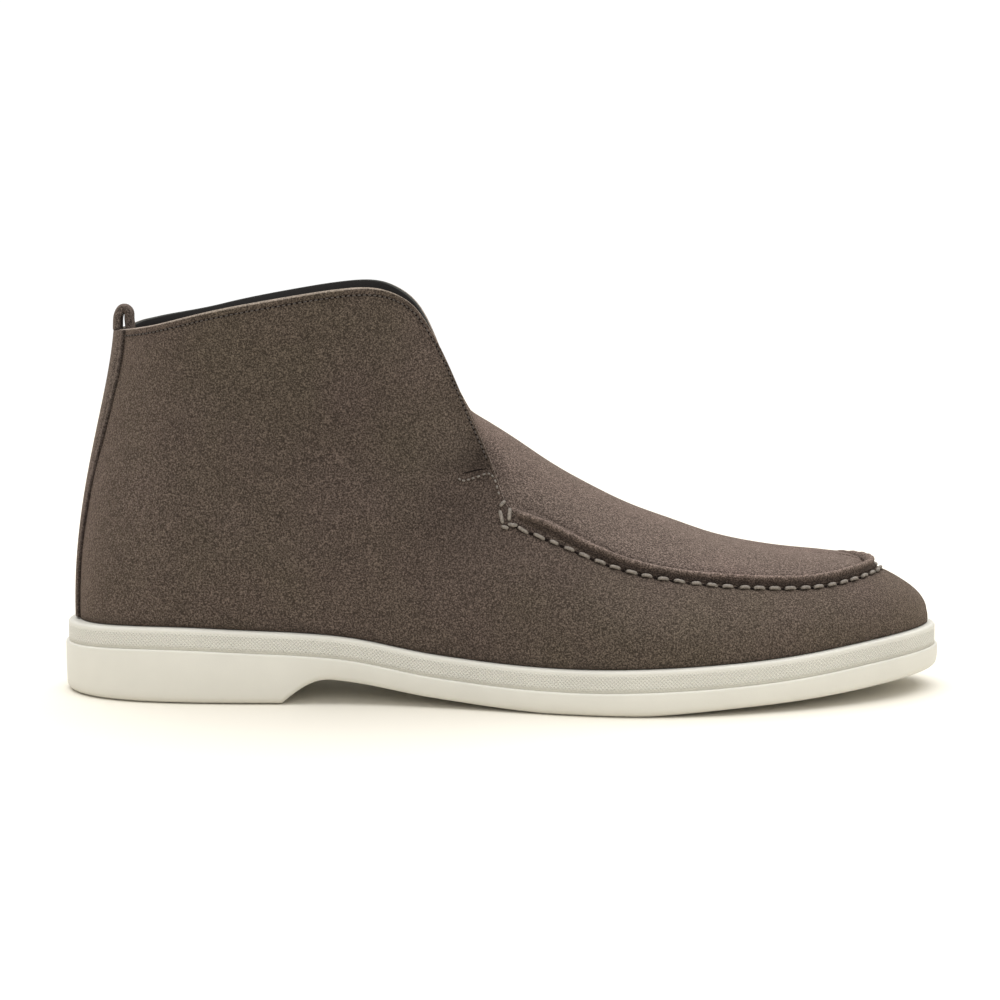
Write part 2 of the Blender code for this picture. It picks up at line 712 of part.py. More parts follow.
def build_pull_loop(suede):
    """A short folded band sewn over the top of the heel strip, curved across as the collar is."""
    path = loop_path()
    along = np.gradient(path, axis=0)
    along /= np.linalg.norm(along, axis=1, keepdims=True)
    side_way = np.stack([-along[:, 1], along[:, 0]], -1)
    across = np.array([-1.0, -0.8, 0.0, 0.8, 1.0])
    proud = np.array([0.55, 1.0, 1.0, 1.0, 0.55]) * LOOP_THICKNESS / 2
    edge = wall_point(-1, walk_share(np.array(1.0), LOOP_WIDTH / 2), np.array(1.0))
    curl = edge[0] - wall_point(-1, np.array(0.0), np.array(1.0))[0]
    forward = curl * across**2
    y = across * LOOP_WIDTH / 2
    sections = []
    for point, out in zip(path, side_way):
        rings = []
        for face in (proud, -proud):
            rings.append(np.stack([point[0] + out[0] * face + forward, y, point[1] + out[1] * face], -1))
        sections.append(np.concatenate([rings[0], rings[1][::-1]]))
    return tube_solid("pull_loop", sections, suede)


def main():
    """Builds every piece and sets the shoe's middle over the origin."""
    for piece in list(bpy.data.objects):
        bpy.data.objects.remove(piece)
    suede = material("suede", (0.115, 0.092, 0.080), 0.95)
    rubber = material("white_rubber", (0.86, 0.85, 0.82), 0.55)
    leather = material("lining_leather", (0.06, 0.065, 0.06), 0.7)
    pieces = [
        build_outsole(rubber),
        build_midsole(rubber),
        build_insole(leather),
        build_upper(suede),
        build_apron(suede),
        build_heel_strip(suede),
        build_pull_loop(suede),
    ]
    edge = [v.co.y for v in pieces[0].data.vertices]
    shoe = bpy.data.objects.new("shoe", None)
    bpy.context.scene.collection.objects.link(shoe)
    shoe.location = (-SOLE_LENGTH / 2, -(min(edge) + max(edge)) / 2, 0)
    for piece in pieces:
        piece.parent = shoe


main()
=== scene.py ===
"""A high slip-on loafer for the right foot, dressed over its solids: rubber sole, suede upper with a sewn
moccasin apron, heel strip and pull loop. Metres, +Z up, toe towards +X, outer side towards -Y."""

import math

import bpy
import bmesh
import numpy as np
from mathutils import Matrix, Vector


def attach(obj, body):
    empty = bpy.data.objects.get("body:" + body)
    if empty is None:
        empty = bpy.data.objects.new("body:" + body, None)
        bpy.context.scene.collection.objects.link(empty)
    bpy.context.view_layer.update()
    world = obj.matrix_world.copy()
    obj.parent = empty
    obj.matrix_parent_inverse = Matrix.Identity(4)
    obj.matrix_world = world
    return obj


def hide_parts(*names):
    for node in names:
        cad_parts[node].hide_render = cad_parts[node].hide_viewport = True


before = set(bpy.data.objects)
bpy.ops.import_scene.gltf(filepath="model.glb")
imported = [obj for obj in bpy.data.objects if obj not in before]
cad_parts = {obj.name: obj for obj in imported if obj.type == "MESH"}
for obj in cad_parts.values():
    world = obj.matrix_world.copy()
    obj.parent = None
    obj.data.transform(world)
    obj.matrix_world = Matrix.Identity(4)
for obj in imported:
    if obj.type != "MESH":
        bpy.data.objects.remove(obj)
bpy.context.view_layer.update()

# The outsole is one moulding of off-white rubber, smooth on its side, with a heel block, a hollow arch and
# a sprung toe. Its side stands 1 mm proud of the band above, and that ledge catches the light.

SOLE_LENGTH = 0.303
BALL_WIDTH = 0.105
SEAT_HEIGHT = 0.0252
MIDSOLE_THICKNESS = 0.0071
OUTSOLE_THICKNESS = 0.0075
MIDSOLE_INSET = 0.0010
HEEL_LENGTH = 0.0772
BREAST_RUN = 0.0170
GAP = 0.0003
TREAD_ROUND = 0.0024
LEDGE_ROUND = 0.0006
SIDE_FLARE = 0.0002

# Share of the length from the heel, share of BALL_WIDTH from the axis, outer side negative.
OUTLINE = [
    (0.000, 0.000), (0.027, -0.186), (0.150, -0.322), (0.350, -0.346), (0.490, -0.440), (0.630, -0.538),
    (0.790, -0.462), (0.920, -0.275), (0.984, -0.090), (1.000, 0.045), (0.977, 0.200), (0.885, 0.380),
    (0.725, 0.462), (0.560, 0.392), (0.420, 0.305), (0.290, 0.296), (0.150, 0.313), (0.027, 0.186),
]
TOE_ROW = 9

# Share of the length, share of SEAT_HEIGHT.
SOLE_TOP = [
    (0.000, 0.952), (0.057, 0.988), (0.107, 1.004), (0.156, 1.000), (0.205, 0.976), (0.254, 0.952),
    (0.293, 0.925), (0.338, 0.867), (0.407, 0.718), (0.451, 0.657), (0.490, 0.619), (0.574, 0.589),
    (0.648, 0.607), (0.736, 0.643), (0.825, 0.706), (0.913, 0.812), (0.968, 0.857), (1.000, 0.869),
]

# Share of the length, share of OUTSOLE_THICKNESS.
TREAD_LAYER = [
    (0.200, 0.99), (0.335, 1.01), (0.410, 0.98), (0.490, 1.00), (0.575, 1.07),
    (0.650, 1.10), (0.740, 1.02), (0.830, 1.05), (0.920, 1.12), (1.000, 1.06),
]


def spline(knots, values, at):
    """Natural cubic spline: in each cell a weighted sum of the cell's two values and their two bends,
    where the bends solve the three-term relation that makes the slopes meet."""
    knots, values, at = (np.asarray(a, float) for a in (knots, values, at))
    steps = np.diff(knots)
    size = len(knots)
    tail = (1,) * (values.ndim - 1)
    slopes = np.diff(values, axis=0) / steps.reshape((-1,) + tail)
    matrix = np.eye(size)
    inner = np.arange(1, size - 1)
    matrix[inner, inner - 1] = steps[:-1]
    matrix[inner, inner] = 2 * (steps[:-1] + steps[1:])
    matrix[inner, inner + 1] = steps[1:]
    right = np.zeros((size,) + values.shape[1:])
    right[inner] = 6 * np.diff(slopes, axis=0)
    bends = np.linalg.solve(matrix, right)
    cell = np.clip(np.searchsorted(knots, at, "right") - 1, 0, size - 2)
    width = steps[cell].reshape(at.shape + tail)
    before = (at - knots[cell]).reshape(at.shape + tail)
    after = width - before
    cubic = (bends[cell] * after**3 + bends[cell + 1] * before**3) / (6 * width)
    line = (values[cell] / width - bends[cell] * width / 6) * after
    return cubic + line + (values[cell + 1] / width - bends[cell + 1] * width / 6) * before


def column(table, name, at):
    """One column of a table as a spline over the table's first column."""
    rows = np.array(table)
    return spline(rows[:, 0], rows[:, name], at)


def ease(value, low, high):
    """Smooth step: with t the clipped share between low and high, t squared times (3 - 2 t)."""
    t = np.clip((np.asarray(value, float) - low) / (high - low), 0, 1)
    return t * t * (3 - 2 * t)


def run_of(path):
    """Distance walked along a row of points: the running sum of the lengths of its steps."""
    return np.concatenate([[0], np.cumsum(np.linalg.norm(np.diff(path, axis=0), axis=1))])


def unit(vectors):
    """Each vector divided by its length, and one of no length left as it is."""
    return vectors / np.maximum(np.linalg.norm(vectors, axis=-1, keepdims=True), 1e-12)


def sole_top(x):
    """Height of the sole's top at a distance x from the heel: the table's spline times the seat height."""
    return SEAT_HEIGHT * column(SOLE_TOP, 1, x / SOLE_LENGTH)


def sole_bottom(x):
    """Height of the tread: top less both layers, not below the floor, times a quarter sine up the breast."""
    tread = OUTSOLE_THICKNESS * column(TREAD_LAYER, 1, np.maximum(x / SOLE_LENGTH, TREAD_LAYER[0][0]))
    layer = np.maximum(sole_top(x) - MIDSOLE_THICKNESS - tread, 0)
    return layer * np.sin(math.pi / 2 * np.clip((x - HEEL_LENGTH) / BREAST_RUN, 0, 1))


def outline_halves():
    """The closed outline as a spline through the table over its chord lengths, run on past its ends so
    that it closes smoothly, then cut at the heel and the toe into an outer and an inner half."""
    points = np.array(OUTLINE) * (SOLE_LENGTH, BALL_WIDTH)
    lap = 4
    ring = np.concatenate([points[-lap:], points, points[: lap + 1]])
    knots = run_of(ring)
    outer = spline(knots, ring, np.linspace(knots[lap], knots[lap + TOE_ROW], 800))
    inner = spline(knots, ring, np.linspace(knots[lap + TOE_ROW], knots[lap + len(points)], 800))
    return outer, inner[::-1]


OUTER_HALF, INNER_HALF = outline_halves()
EDGES = np.concatenate([OUTER_HALF, INNER_HALF])[:, 1]
TO_ROW_FRAME = np.array([-SOLE_LENGTH / 2, -(EDGES.min() + EDGES.max()) / 2, 0])


def outline_point(side, share, inset):
    """A point at a share of half the outline's length, and its outward normal, the tangent turned by a
    quarter. The point is moved inwards along the normal by the inset."""
    half = OUTER_HALF if side < 0 else INNER_HALF
    walked = run_of(half)
    tangents = np.gradient(half, walked, axis=0)
    share = np.asarray(share, float)
    places = share * walked[-1]
    point = np.stack([np.interp(places, walked, half[:, k]) for k in (0, 1)], -1)
    along = np.stack([np.interp(places, walked, tangents[:, k]) for k in (0, 1)], -1)
    outward = np.stack([-along[..., 1], along[..., 0]], -1) * side
    ends = (share <= 0) | (share >= 1)
    forward = np.where(share >= 1, 1.0, -1.0)
    outward[ends] = np.stack([forward, np.zeros_like(forward)], -1)[ends]
    outward = unit(outward)
    return point - outward * np.asarray(inset)[..., None], outward


def plate_grid(inset, shares, steps, bands):
    """Rings of points round a plate of the sole, bottom middle to top middle. Each step is an extra inset
    and a height over x, at every share of the outline on both sides. The faces are filled by straight
    bands from the edge ring to the middle line, at bands shares of the way."""
    outer = []
    inner = []
    for side, rings in ((-1, outer), (1, inner)):
        for extra, height in steps:
            flat, _ = outline_point(side, shares, np.full(shares.shape, inset + extra))
            rings.append(np.concatenate([flat, height(flat[:, 0])[:, None]], 1))
    outer, inner = np.stack(outer, 1), np.stack(inner, 1)
    middle = (outer + inner) / 2
    grids = []
    for ring in (outer, inner):
        low = [middle[:, :1] + (ring[:, :1] - middle[:, :1]) * k for k in bands]
        high = [middle[:, -1:] + (ring[:, -1:] - middle[:, -1:]) * k for k in bands[::-1]]
        whole = np.concatenate(low + [ring] + high, 1)
        cap_low, cap_high = slice(0, len(bands)), slice(-len(bands), None)
        whole[:, cap_low, 2] = steps[0][1](whole[:, cap_low, 0])
        whole[:, cap_high, 2] = steps[-1][1](whole[:, cap_high, 0])
        grids.append(whole)
    return np.concatenate([grids[0], grids[1][-2:0:-1]])


def placed(mesh, merge, fill=True):
    """An object of the mesh with its name, after points nearer than merge are made one, open rings are
    filled when fill is set, and the faces are turned outwards."""
    form = bmesh.new()
    form.from_mesh(mesh)
    bmesh.ops.remove_doubles(form, verts=form.verts, dist=merge)
    if fill:
        bmesh.ops.holes_fill(form, edges=[e for e in form.edges if e.is_boundary], sides=0)
    bmesh.ops.recalc_face_normals(form, faces=form.faces)
    form.to_mesh(mesh)
    form.free()
    mesh.shade_smooth()
    piece = bpy.data.objects.new(mesh.name, mesh)
    bpy.context.scene.collection.objects.link(piece)
    return piece


def shell(name, grid, made_of, around=True, closed=False, slots=None, uv=None, painted_shading=None, merge=2e-6):
    """A mesh over a grid of points, columns by rows. Columns close into a ring when around is set, rows when
    closed is set. slots gives a material to each row of faces, uv two numbers to each point, and the painted
    light and shade one number to each point. Points nearer than merge are made one."""
    columns, rows = grid.shape[:2]
    c = np.arange(columns if around else columns - 1)
    r = np.arange(rows if closed else rows - 1)
    c, r = (a.ravel() for a in np.meshgrid(c, r, indexing="ij"))
    c2, r2 = (c + 1) % columns, (r + 1) % rows
    faces = np.stack([c * rows + r, c2 * rows + r, c2 * rows + r2, c * rows + r2], 1)
    mesh = bpy.data.meshes.new(name)
    mesh.from_pydata(grid.reshape(-1, 3) + TO_ROW_FRAME, [], faces)
    if uv is not None:
        layer = mesh.uv_layers.new(name="run")
        corners = np.stack([uv[c, r], uv[c + 1, r], uv[c + 1, r + 1], uv[c, r + 1]], 1)
        layer.data.foreach_set("uv", corners.ravel())
    for one in made_of:
        mesh.materials.append(one)
    if slots is not None:
        mesh.polygons.foreach_set("material_index", np.asarray(slots)[r])
    if painted_shading is not None:
        mesh.attributes.new("painted_shading", "FLOAT", "POINT").data.foreach_set("value", painted_shading.ravel())
    return placed(mesh, merge)


def node_tools(tree, end):
    """Two functions for a node tree: add makes a node, and dress fills the inputs of the tree's end node.
    An input that is given a socket is linked to it, and any other value becomes its constant."""

    def fill(node, inputs):
        for key, value in inputs.items():
            if isinstance(value, bpy.types.NodeSocket):
                tree.links.new(value, node.inputs[key])
            else:
                node.inputs[key].default_value = value

    def add(kind, inputs, **settings):
        node = tree.nodes.new(kind)
        for key, value in settings.items():
            setattr(node, key, value)
        fill(node, inputs)
        return node

    def dress(inputs):
        fill(end, inputs)

    return add, dress


def material_setup(name):
    """A material, and the two functions for its tree, which end at its Principled shader."""
    made = bpy.data.materials.new(name)
    made.use_nodes = True
    return made, *node_tools(made.node_tree, made.node_tree.nodes["Principled BSDF"])


def group_setup(name, inputs, outputs):
    """A shader node group with named sockets, (name, kind, default) in and (name, kind) out, its given
    sockets, and the two functions for its tree."""
    group = bpy.data.node_groups.new(name, "ShaderNodeTree")
    for label, kind, default in inputs:
        socket = group.interface.new_socket(label, in_out="INPUT", socket_type=kind)
        socket.default_value = default
    for label, kind in outputs:
        group.interface.new_socket(label, in_out="OUTPUT", socket_type=kind)
    start = group.nodes.new("NodeGroupInput")
    return group, start.outputs, *node_tools(group, group.nodes.new("NodeGroupOutput"))


def place_in_object(add):
    """The shaded point in the object's own coordinates."""
    return add("ShaderNodeTexCoord", {}).outputs["Object"]


def maths(add, operation, *values):
    """One operation on up to three numbers."""
    return add("ShaderNodeMath", dict(enumerate(values)), operation=operation).outputs[0]


def spread(add, value, low, high, start, end):
    """A number's place between low and high, carried over to start and end and held there."""
    return add("ShaderNodeMapRange", {0: value, 1: low, 2: high, 3: start, 4: end}).outputs[0]


def noise(add, scale, detail, **more):
    """Soft noise over the object: features are about 1/scale metres apart."""
    inputs = {"Vector": place_in_object(add), "Scale": scale, "Detail": detail, **more}
    return add("ShaderNodeTexNoise", inputs).outputs["Fac"]


def shaded(add, colour, shade):
    """A colour times a number."""
    return add("ShaderNodeVectorMath", {0: colour, "Scale": shade}, operation="SCALE").outputs[0]


def dents(add, height, strength, distance):
    """The normal bent by a height."""
    return add("ShaderNodeBump", {"Height": height, "Strength": strength, "Distance": distance}).outputs[0]


# Moulded rubber: a soft mottle in the colour, a faint skin of pimples, and painted shade near the floor: a
# warmer, darker tint that gathers low.
rubber_skin, given, add, dress = group_setup(
    "rubber skin",
    [
        ("Colour", "NodeSocketColor", (0.70, 0.68, 0.61, 1.0)),
        ("Low shade", "NodeSocketColor", (0.52, 0.47, 0.38, 1.0)),
        ("Dust height", "NodeSocketFloat", 0.004),
        ("Pimples", "NodeSocketFloat", 1600.0),
    ],
    [("Colour", "NodeSocketColor"), ("Roughness", "NodeSocketFloat"), ("Height", "NodeSocketFloat")],
)
mottle = noise(add, 60.0, 4.0)
height = add("ShaderNodeSeparateXYZ", {0: place_in_object(add)}).outputs["Z"]
# Painted shade: below a set height the colour is mixed towards a warmer, darker brown, towards the floor.
low = spread(add, height, given["Dust height"], 0.0, 0.0, 0.55)
tint = shaded(add, given["Colour"], spread(add, mottle, 0.3, 0.7, 0.965, 1.02))
low_shading = {"Factor": maths(add, "MULTIPLY", low, mottle), "A": tint, "B": given["Low shade"]}
dress({
    "Colour": add("ShaderNodeMix", low_shading, data_type="RGBA").outputs["Result"],
    "Roughness": spread(add, mottle, 0.3, 0.7, 0.42, 0.56),
    "Height": noise(add, given["Pimples"], 2.0),
})

outsole_rubber, add, dress = material_setup("outsole_rubber")
skin = add("ShaderNodeGroup", {}, node_tree=rubber_skin).outputs
dress({
    "Base Color": skin["Colour"],
    "Roughness": skin["Roughness"],
    "Normal": dents(add, skin["Height"], 0.12, 0.0002),
    "Specular IOR Level": 0.4,
})


def corner(radius, count, bottom):
    """Extra insets and rises of a quarter circle from a face to the side: r (1 - sin a) in, r (1 - cos a)
    up, with a from 0 to a right angle, and the other way round towards a top face."""
    turn = np.linspace(0, math.pi / 2, count)
    steps = [(radius * (1 - math.sin(a)), radius * (1 - math.cos(a))) for a in turn]
    return steps if bottom else [(inset, -rise) for inset, rise in steps[::-1]]


def seam_height(x):
    """Height of the joint between the outsole and the band."""
    return sole_top(x) - MIDSOLE_THICKNESS


EDGE_SHARES = np.concatenate([
    np.linspace(0, 0.2, 60, endpoint=False),
    np.linspace(0.2, 0.36, 60, endpoint=False),
    np.linspace(0.36, 0.85, 90, endpoint=False),
    np.linspace(0.85, 1, 51),
])
FILL_BANDS = np.array([0.0, 0.2, 0.4, 0.6, 0.75, 0.88, 0.96])

steps = [(i, lambda x, r=r: sole_bottom(x) + r) for i, r in corner(TREAD_ROUND, 7, True)]
steps += [(-SIDE_FLARE, lambda x: sole_bottom(x) * 0.5 + seam_height(x) * 0.5)]
for i, r in corner(LEDGE_ROUND, 5, False):
    steps.append((i - SIDE_FLARE, lambda x, r=r: seam_height(x) - GAP / 2 + r))
steps += [(2.2 * MIDSOLE_INSET, lambda x: seam_height(x) - GAP / 2)]
grid = plate_grid(SIDE_FLARE, EDGE_SHARES, steps, FILL_BANDS)
outsole = shell("outsole_moulding", grid, [outsole_rubber])
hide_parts("outsole")
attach(outsole, "root")

# The band between outsole and upper is the same rubber with a fine diamond hatch moulded into its side. Its
# top edge is rounded and left smooth, and the upper stands just inside it.

BAND_ROUND = 0.0011
HATCH_PITCH = 0.00125
HATCH_LOW = 0.0004
HATCH_HIGH = 0.0058
HATCH_FADE = 0.0006

band_rubber, add, dress = material_setup("band_rubber")
skin = add("ShaderNodeGroup", {"Dust height": 0.0}, node_tree=rubber_skin).outputs
run = add("ShaderNodeUVMap", {}, uv_map="run").outputs[0]
split = add("ShaderNodeSeparateXYZ", {0: run}).outputs
along, rise = split["X"], split["Y"]
waves = []
for slant in (1.0, -1.0):
    tilted = maths(add, "MULTIPLY_ADD", rise, slant, along)
    waves.append(maths(add, "SINE", maths(add, "MULTIPLY", tilted, 2 * math.pi / HATCH_PITCH)))
cut = maths(add, "MAXIMUM", *waves)
above = spread(add, rise, HATCH_LOW, HATCH_LOW + HATCH_FADE, 0.0, 1.0)
below = spread(add, rise, HATCH_HIGH, HATCH_HIGH - HATCH_FADE, 0.0, 1.0)
hatch = maths(add, "MULTIPLY", cut, maths(add, "MULTIPLY", above, below))
# Painted shade and light: the colour is darker in the hatch's cuts and a little lighter on its ridges.
dress({
    "Base Color": shaded(add, skin["Colour"], spread(add, hatch, -1.0, 1.0, 0.90, 1.04)),
    "Roughness": skin["Roughness"],
    "Normal": dents(add, maths(add, "MULTIPLY_ADD", skin["Height"], 0.15, hatch), 0.75, 0.00025),
    "Specular IOR Level": 0.35,
})

steps = [(0.0, lambda x: seam_height(x) - GAP * 0.6)]
steps += [(0.0, lambda x, k=k: seam_height(x) + k * MIDSOLE_THICKNESS) for k in (0.25, 0.5, 0.7)]
steps += [(i, lambda x, r=r: sole_top(x) + r) for i, r in corner(BAND_ROUND, 7, False)]
grid = plate_grid(MIDSOLE_INSET, EDGE_SHARES, steps, FILL_BANDS)
walk = run_of(np.concatenate([grid, grid[:1]])[:, len(FILL_BANDS), :2])
rises = np.clip(grid[..., 2] - seam_height(grid[..., 0]), 0, None)
rises = np.concatenate([rises, rises[:1]])
uv = np.stack([np.broadcast_to(walk[:, None], rises.shape), rises], -1)
band = shell("midsole_band", grid, [band_rubber], uv=uv)
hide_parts("midsole")
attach(band, "root")

# The insole is a dark leather footbed lying on the sole inside the upper, thin at its edge.

UPPER_INSET = 0.0036
HEEL_SETBACK = 0.0012
UPPER_WALL = 0.0022
INSOLE_THICKNESS = 0.0035
INSOLE_ROUND = 0.0010

footbed_leather, add, dress = material_setup("footbed_leather")
pores = add("ShaderNodeTexVoronoi", {"Vector": place_in_object(add), "Scale": 900.0}).outputs["Distance"]
dress({
    "Base Color": (0.022, 0.021, 0.019, 1.0),
    "Roughness": 0.6,
    "Normal": dents(add, pores, 0.25, 0.0002),
})

top = INSOLE_THICKNESS + GAP
steps = [(0.0, lambda x: sole_top(x) + GAP), (0.0, lambda x: sole_top(x) + top - INSOLE_ROUND)]
steps += [(i, lambda x, r=r: sole_top(x) + top + r) for i, r in corner(INSOLE_ROUND, 5, False)]
inset = UPPER_INSET + HEEL_SETBACK + UPPER_WALL + 4 * GAP
insole = shell("insole_board", plate_grid(inset, EDGE_SHARES[::3], steps, FILL_BANDS), [footbed_leather])
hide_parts("insole")
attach(insole, "root")

# The upper is soft brown suede about 2 mm thick with a dark lining, lasted round the foot and glued down
# inside the sole. Collar and V front are cut raw, so the pale middle of the hide shows as a thin line.

COLLAR_HEIGHT = 0.139
COLLAR_WIDTH = 0.070
THROAT_GAP = 0.040
INNER_SETBACK = 0.0012
INNER_THROAT_SETBACK = 0.0016
INNER_COLLAR_RISE = 0.0016
APRON_WIDTH = 0.070
SEAM_RISE = 0.0325
BELLY = 0.0050
RIPPLE = 0.00022
INNER_SHIFT = 0.004
INNER_SHARE = 0.8

# Share of the length, share of BALL_WIDTH.
FOOT_MIDDLE = [
    (0.00, 0.000), (0.30, -0.005), (0.50, -0.020), (0.65, -0.015), (0.80, 0.010), (0.93, 0.042),
    (1.00, 0.052),
]

# Share along half the outline, share of the length, share of the stretch's width and of its height.
COLLAR = [
    (0.000, 0.0643, 0.000, 0.888), (0.055, 0.0771, 0.130, 0.892), (0.125, 0.1184, 0.315, 0.909),
    (0.190, 0.1735, 0.436, 0.939), (0.270, 0.2558, 0.500, 0.974), (0.330, 0.3220, 0.479, 0.996),
    (0.365, 0.3613, 0.421, 0.998),
]
THROAT = [
    (0.390, 0.3861, 0.625, 0.980), (0.407, 0.4036, 0.550, 0.951), (0.424, 0.4208, 0.512, 0.896),
    (0.442, 0.4382, 0.495, 0.821), (0.460, 0.4561, 0.500, 0.732), (0.474, 0.4720, 0.538, 0.655),
    (0.492, 0.4917, 0.620, 0.553), (0.506, 0.5049, 0.720, 0.479),
]
SEAM = [
    (0.525, 0.5280, 0.445, 1.438), (0.570, 0.5792, 0.476, 1.222), (0.617, 0.6320, 0.497, 1.000),
    (0.680, 0.7013, 0.503, 0.838), (0.745, 0.7707, 0.475, 0.745), (0.820, 0.8426, 0.400, 0.665),
    (0.875, 0.8829, 0.300, 0.655), (0.935, 0.9126, 0.160, 0.655), (1.000, 0.9241, 0.000, 0.650),
]

# Share along half the outline, swell as a share of BELLY, lower handle, lean in degrees, upper handle.
WALL = [
    (0.000, 0.05, 0.45, 84.0, 0.27), (0.060, 0.40, 0.38, 88.0, 0.35), (0.130, 0.80, 0.36, 96.0, 0.42),
    (0.270, 1.00, 0.35, 100.0, 0.45), (0.360, 0.80, 0.33, 92.0, 0.42), (0.440, 0.60, 0.30, 80.0, 0.35),
    (0.506, 0.50, 0.35, 65.0, 0.35), (0.617, 0.50, 0.42, 42.0, 0.38), (0.745, 0.50, 0.45, 38.0, 0.35),
    (0.900, 0.36, 0.48, 30.0, 0.38), (1.000, 0.24, 0.50, 25.0, 0.40),
]

# Soft troughs and ridges of the outer side: the middle as distance from the heel and height in metres,
# half lengths along and across, turn of the long axis in degrees from level, depth, inwards negative.
CREASES = [
    (0.139, 0.0620, 0.024, 0.0090, 62.0, -0.0009),
    (0.150, 0.0790, 0.020, 0.0070, 48.0, -0.0008),
    (0.128, 0.0930, 0.022, 0.0100, 35.0, -0.0007),
    (0.118, 0.0640, 0.030, 0.0120, 20.0, 0.0007),
    (0.100, 0.0830, 0.030, 0.0120, 8.0, -0.0006),
    (0.060, 0.0900, 0.022, 0.0120, -30.0, 0.0006),
    (0.048, 0.0620, 0.024, 0.0110, 70.0, -0.0005),
    (0.080, 0.0450, 0.030, 0.0090, 5.0, 0.0005),
    (0.160, 0.0440, 0.028, 0.0080, 15.0, 0.0005),
    (0.190, 0.0520, 0.020, 0.0070, -25.0, -0.0005),
    (0.214, 0.0400, 0.018, 0.0060, -15.0, 0.0004),
    (0.250, 0.0340, 0.016, 0.0060, -8.0, -0.0003),
    (0.108, 0.1120, 0.020, 0.0090, 12.0, 0.0006),
    (0.070, 0.1140, 0.018, 0.0080, 5.0, -0.0004),
]


def foot_middle(x):
    """Sideways place of the foot's middle at a distance from the heel."""
    return BALL_WIDTH * column(FOOT_MIDDLE, 1, x / SOLE_LENGTH)


def top_edge_rows():
    """Share, distance from the heel, half width and height along the upper's whole top edge."""
    rows = [(s, x * SOLE_LENGTH, w * COLLAR_WIDTH, h * COLLAR_HEIGHT) for s, x, w, h in COLLAR]
    rows += [(s, x * SOLE_LENGTH, w * THROAT_GAP, h * COLLAR_HEIGHT) for s, x, w, h in THROAT]
    for s, x, w, h in SEAM:
        height = float(sole_top(np.array(x * SOLE_LENGTH))) + h * SEAM_RISE
        rows.append((s, x * SOLE_LENGTH, w * APRON_WIDTH, height))
    return np.array(rows)


def top_edge(side, share):
    """Points of the upper's top edge: a spline over the rows, run on round the heel and the toe with the
    half width's sign changed, and set sideways from the foot's middle."""
    rows = top_edge_rows()
    flip = np.array([1, -1, 1])
    heel, toe = rows[4:0:-1], rows[-2:-6:-1]
    knots = np.concatenate([-heel[:, 0], rows[:, 0], 2 - toe[:, 0]])
    values = np.concatenate([heel[:, 1:] * flip, rows[:, 1:], toe[:, 1:] * flip])
    share = np.asarray(share, float)
    x, half, z = np.moveaxis(spline(knots, values, share), -1, 0)
    if side > 0:
        x = x - INNER_SETBACK * ease(share, 0.27, 0.39) * (1 - ease(share, 0.48, 0.57))
        x = x - INNER_THROAT_SETBACK * ease(share, 0.41, 0.455) * (1 - ease(share, 0.48, 0.55))
        z = z + INNER_COLLAR_RISE * ease(share, 0.02, 0.08) * (1 - ease(share, 0.10, 0.19))
    return np.stack([x, foot_middle(x) * ease(share, 0, 0.2) + side * half, z], -1)


def bezier(points, t):
    """A cubic Bezier curve: a (1-t)^3 + 3 b t (1-t)^2 + 3 c t^2 (1-t) + d t^3."""
    a, b, c, d = points
    t = np.asarray(t, float)[..., None]
    return a * (1 - t) ** 3 + 3 * b * t * (1 - t) ** 2 + 3 * c * t**2 * (1 - t) + d * t**3


def wall_handles(side, share):
    """The four Bezier points of the wall's column: the foot on the sole, the handle that swells out by
    BELLY, the handle below the top edge along its lean, and the top edge."""
    share = np.asarray(share, float)
    flat, outward = outline_point(side, share, np.zeros(share.shape))
    inset = UPPER_INSET + HEEL_SETBACK * (1 - ease(share, 0, 0.14))
    flat = flat - outward * inset[..., None]
    foot = np.concatenate([flat, (sole_top(flat[..., 0]) + GAP)[..., None]], -1)
    top = top_edge(side, share)
    height = (top - foot)[..., 2]
    length = np.linalg.norm(top - foot, axis=-1)
    swell, low, lean, high = (column(WALL, k, share) for k in (1, 2, 3, 4))
    outward3 = np.concatenate([outward, np.zeros(share.shape + (1,))], -1)
    up = np.array([0.0, 0.0, 1.0])
    lower = foot + outward3 * (BELLY * swell)[..., None] + up * (height * low)[..., None]
    angle = np.radians(lean)
    direction = -outward3 * np.cos(angle)[..., None] + up * np.sin(angle)[..., None]
    upper = top - direction * (length * high)[..., None]
    return foot, lower, upper, top


def wall_normal(side, share, t):
    """The outward normal of the upper: the cross product of its slopes upwards and along."""
    step = 0.002
    low, high = np.clip(share - step, 0, 1), np.clip(share + step, 0, 1)
    along = bezier(wall_handles(side, high), t) - bezier(wall_handles(side, low), t)
    handles = wall_handles(side, share)
    up = bezier(handles, np.clip(t + step, 0, 1)) - bezier(handles, np.clip(t - step, 0, 1))
    normal = np.cross(up, along) * side
    normal[..., 1] = np.where((share <= 0) | (share >= 1), 0, normal[..., 1])
    return unit(normal)


def wall_point(side, share, t, depth=0.0):
    """A point of the smooth wall, moved into it along its normal by a depth."""
    share, t = np.broadcast_arrays(np.asarray(share, float), np.asarray(t, float))
    point = bezier(wall_handles(side, share), t)
    if np.all(np.asarray(depth) == 0):
        return point
    return point - wall_normal(side, share, t) * np.asarray(depth)[..., None]


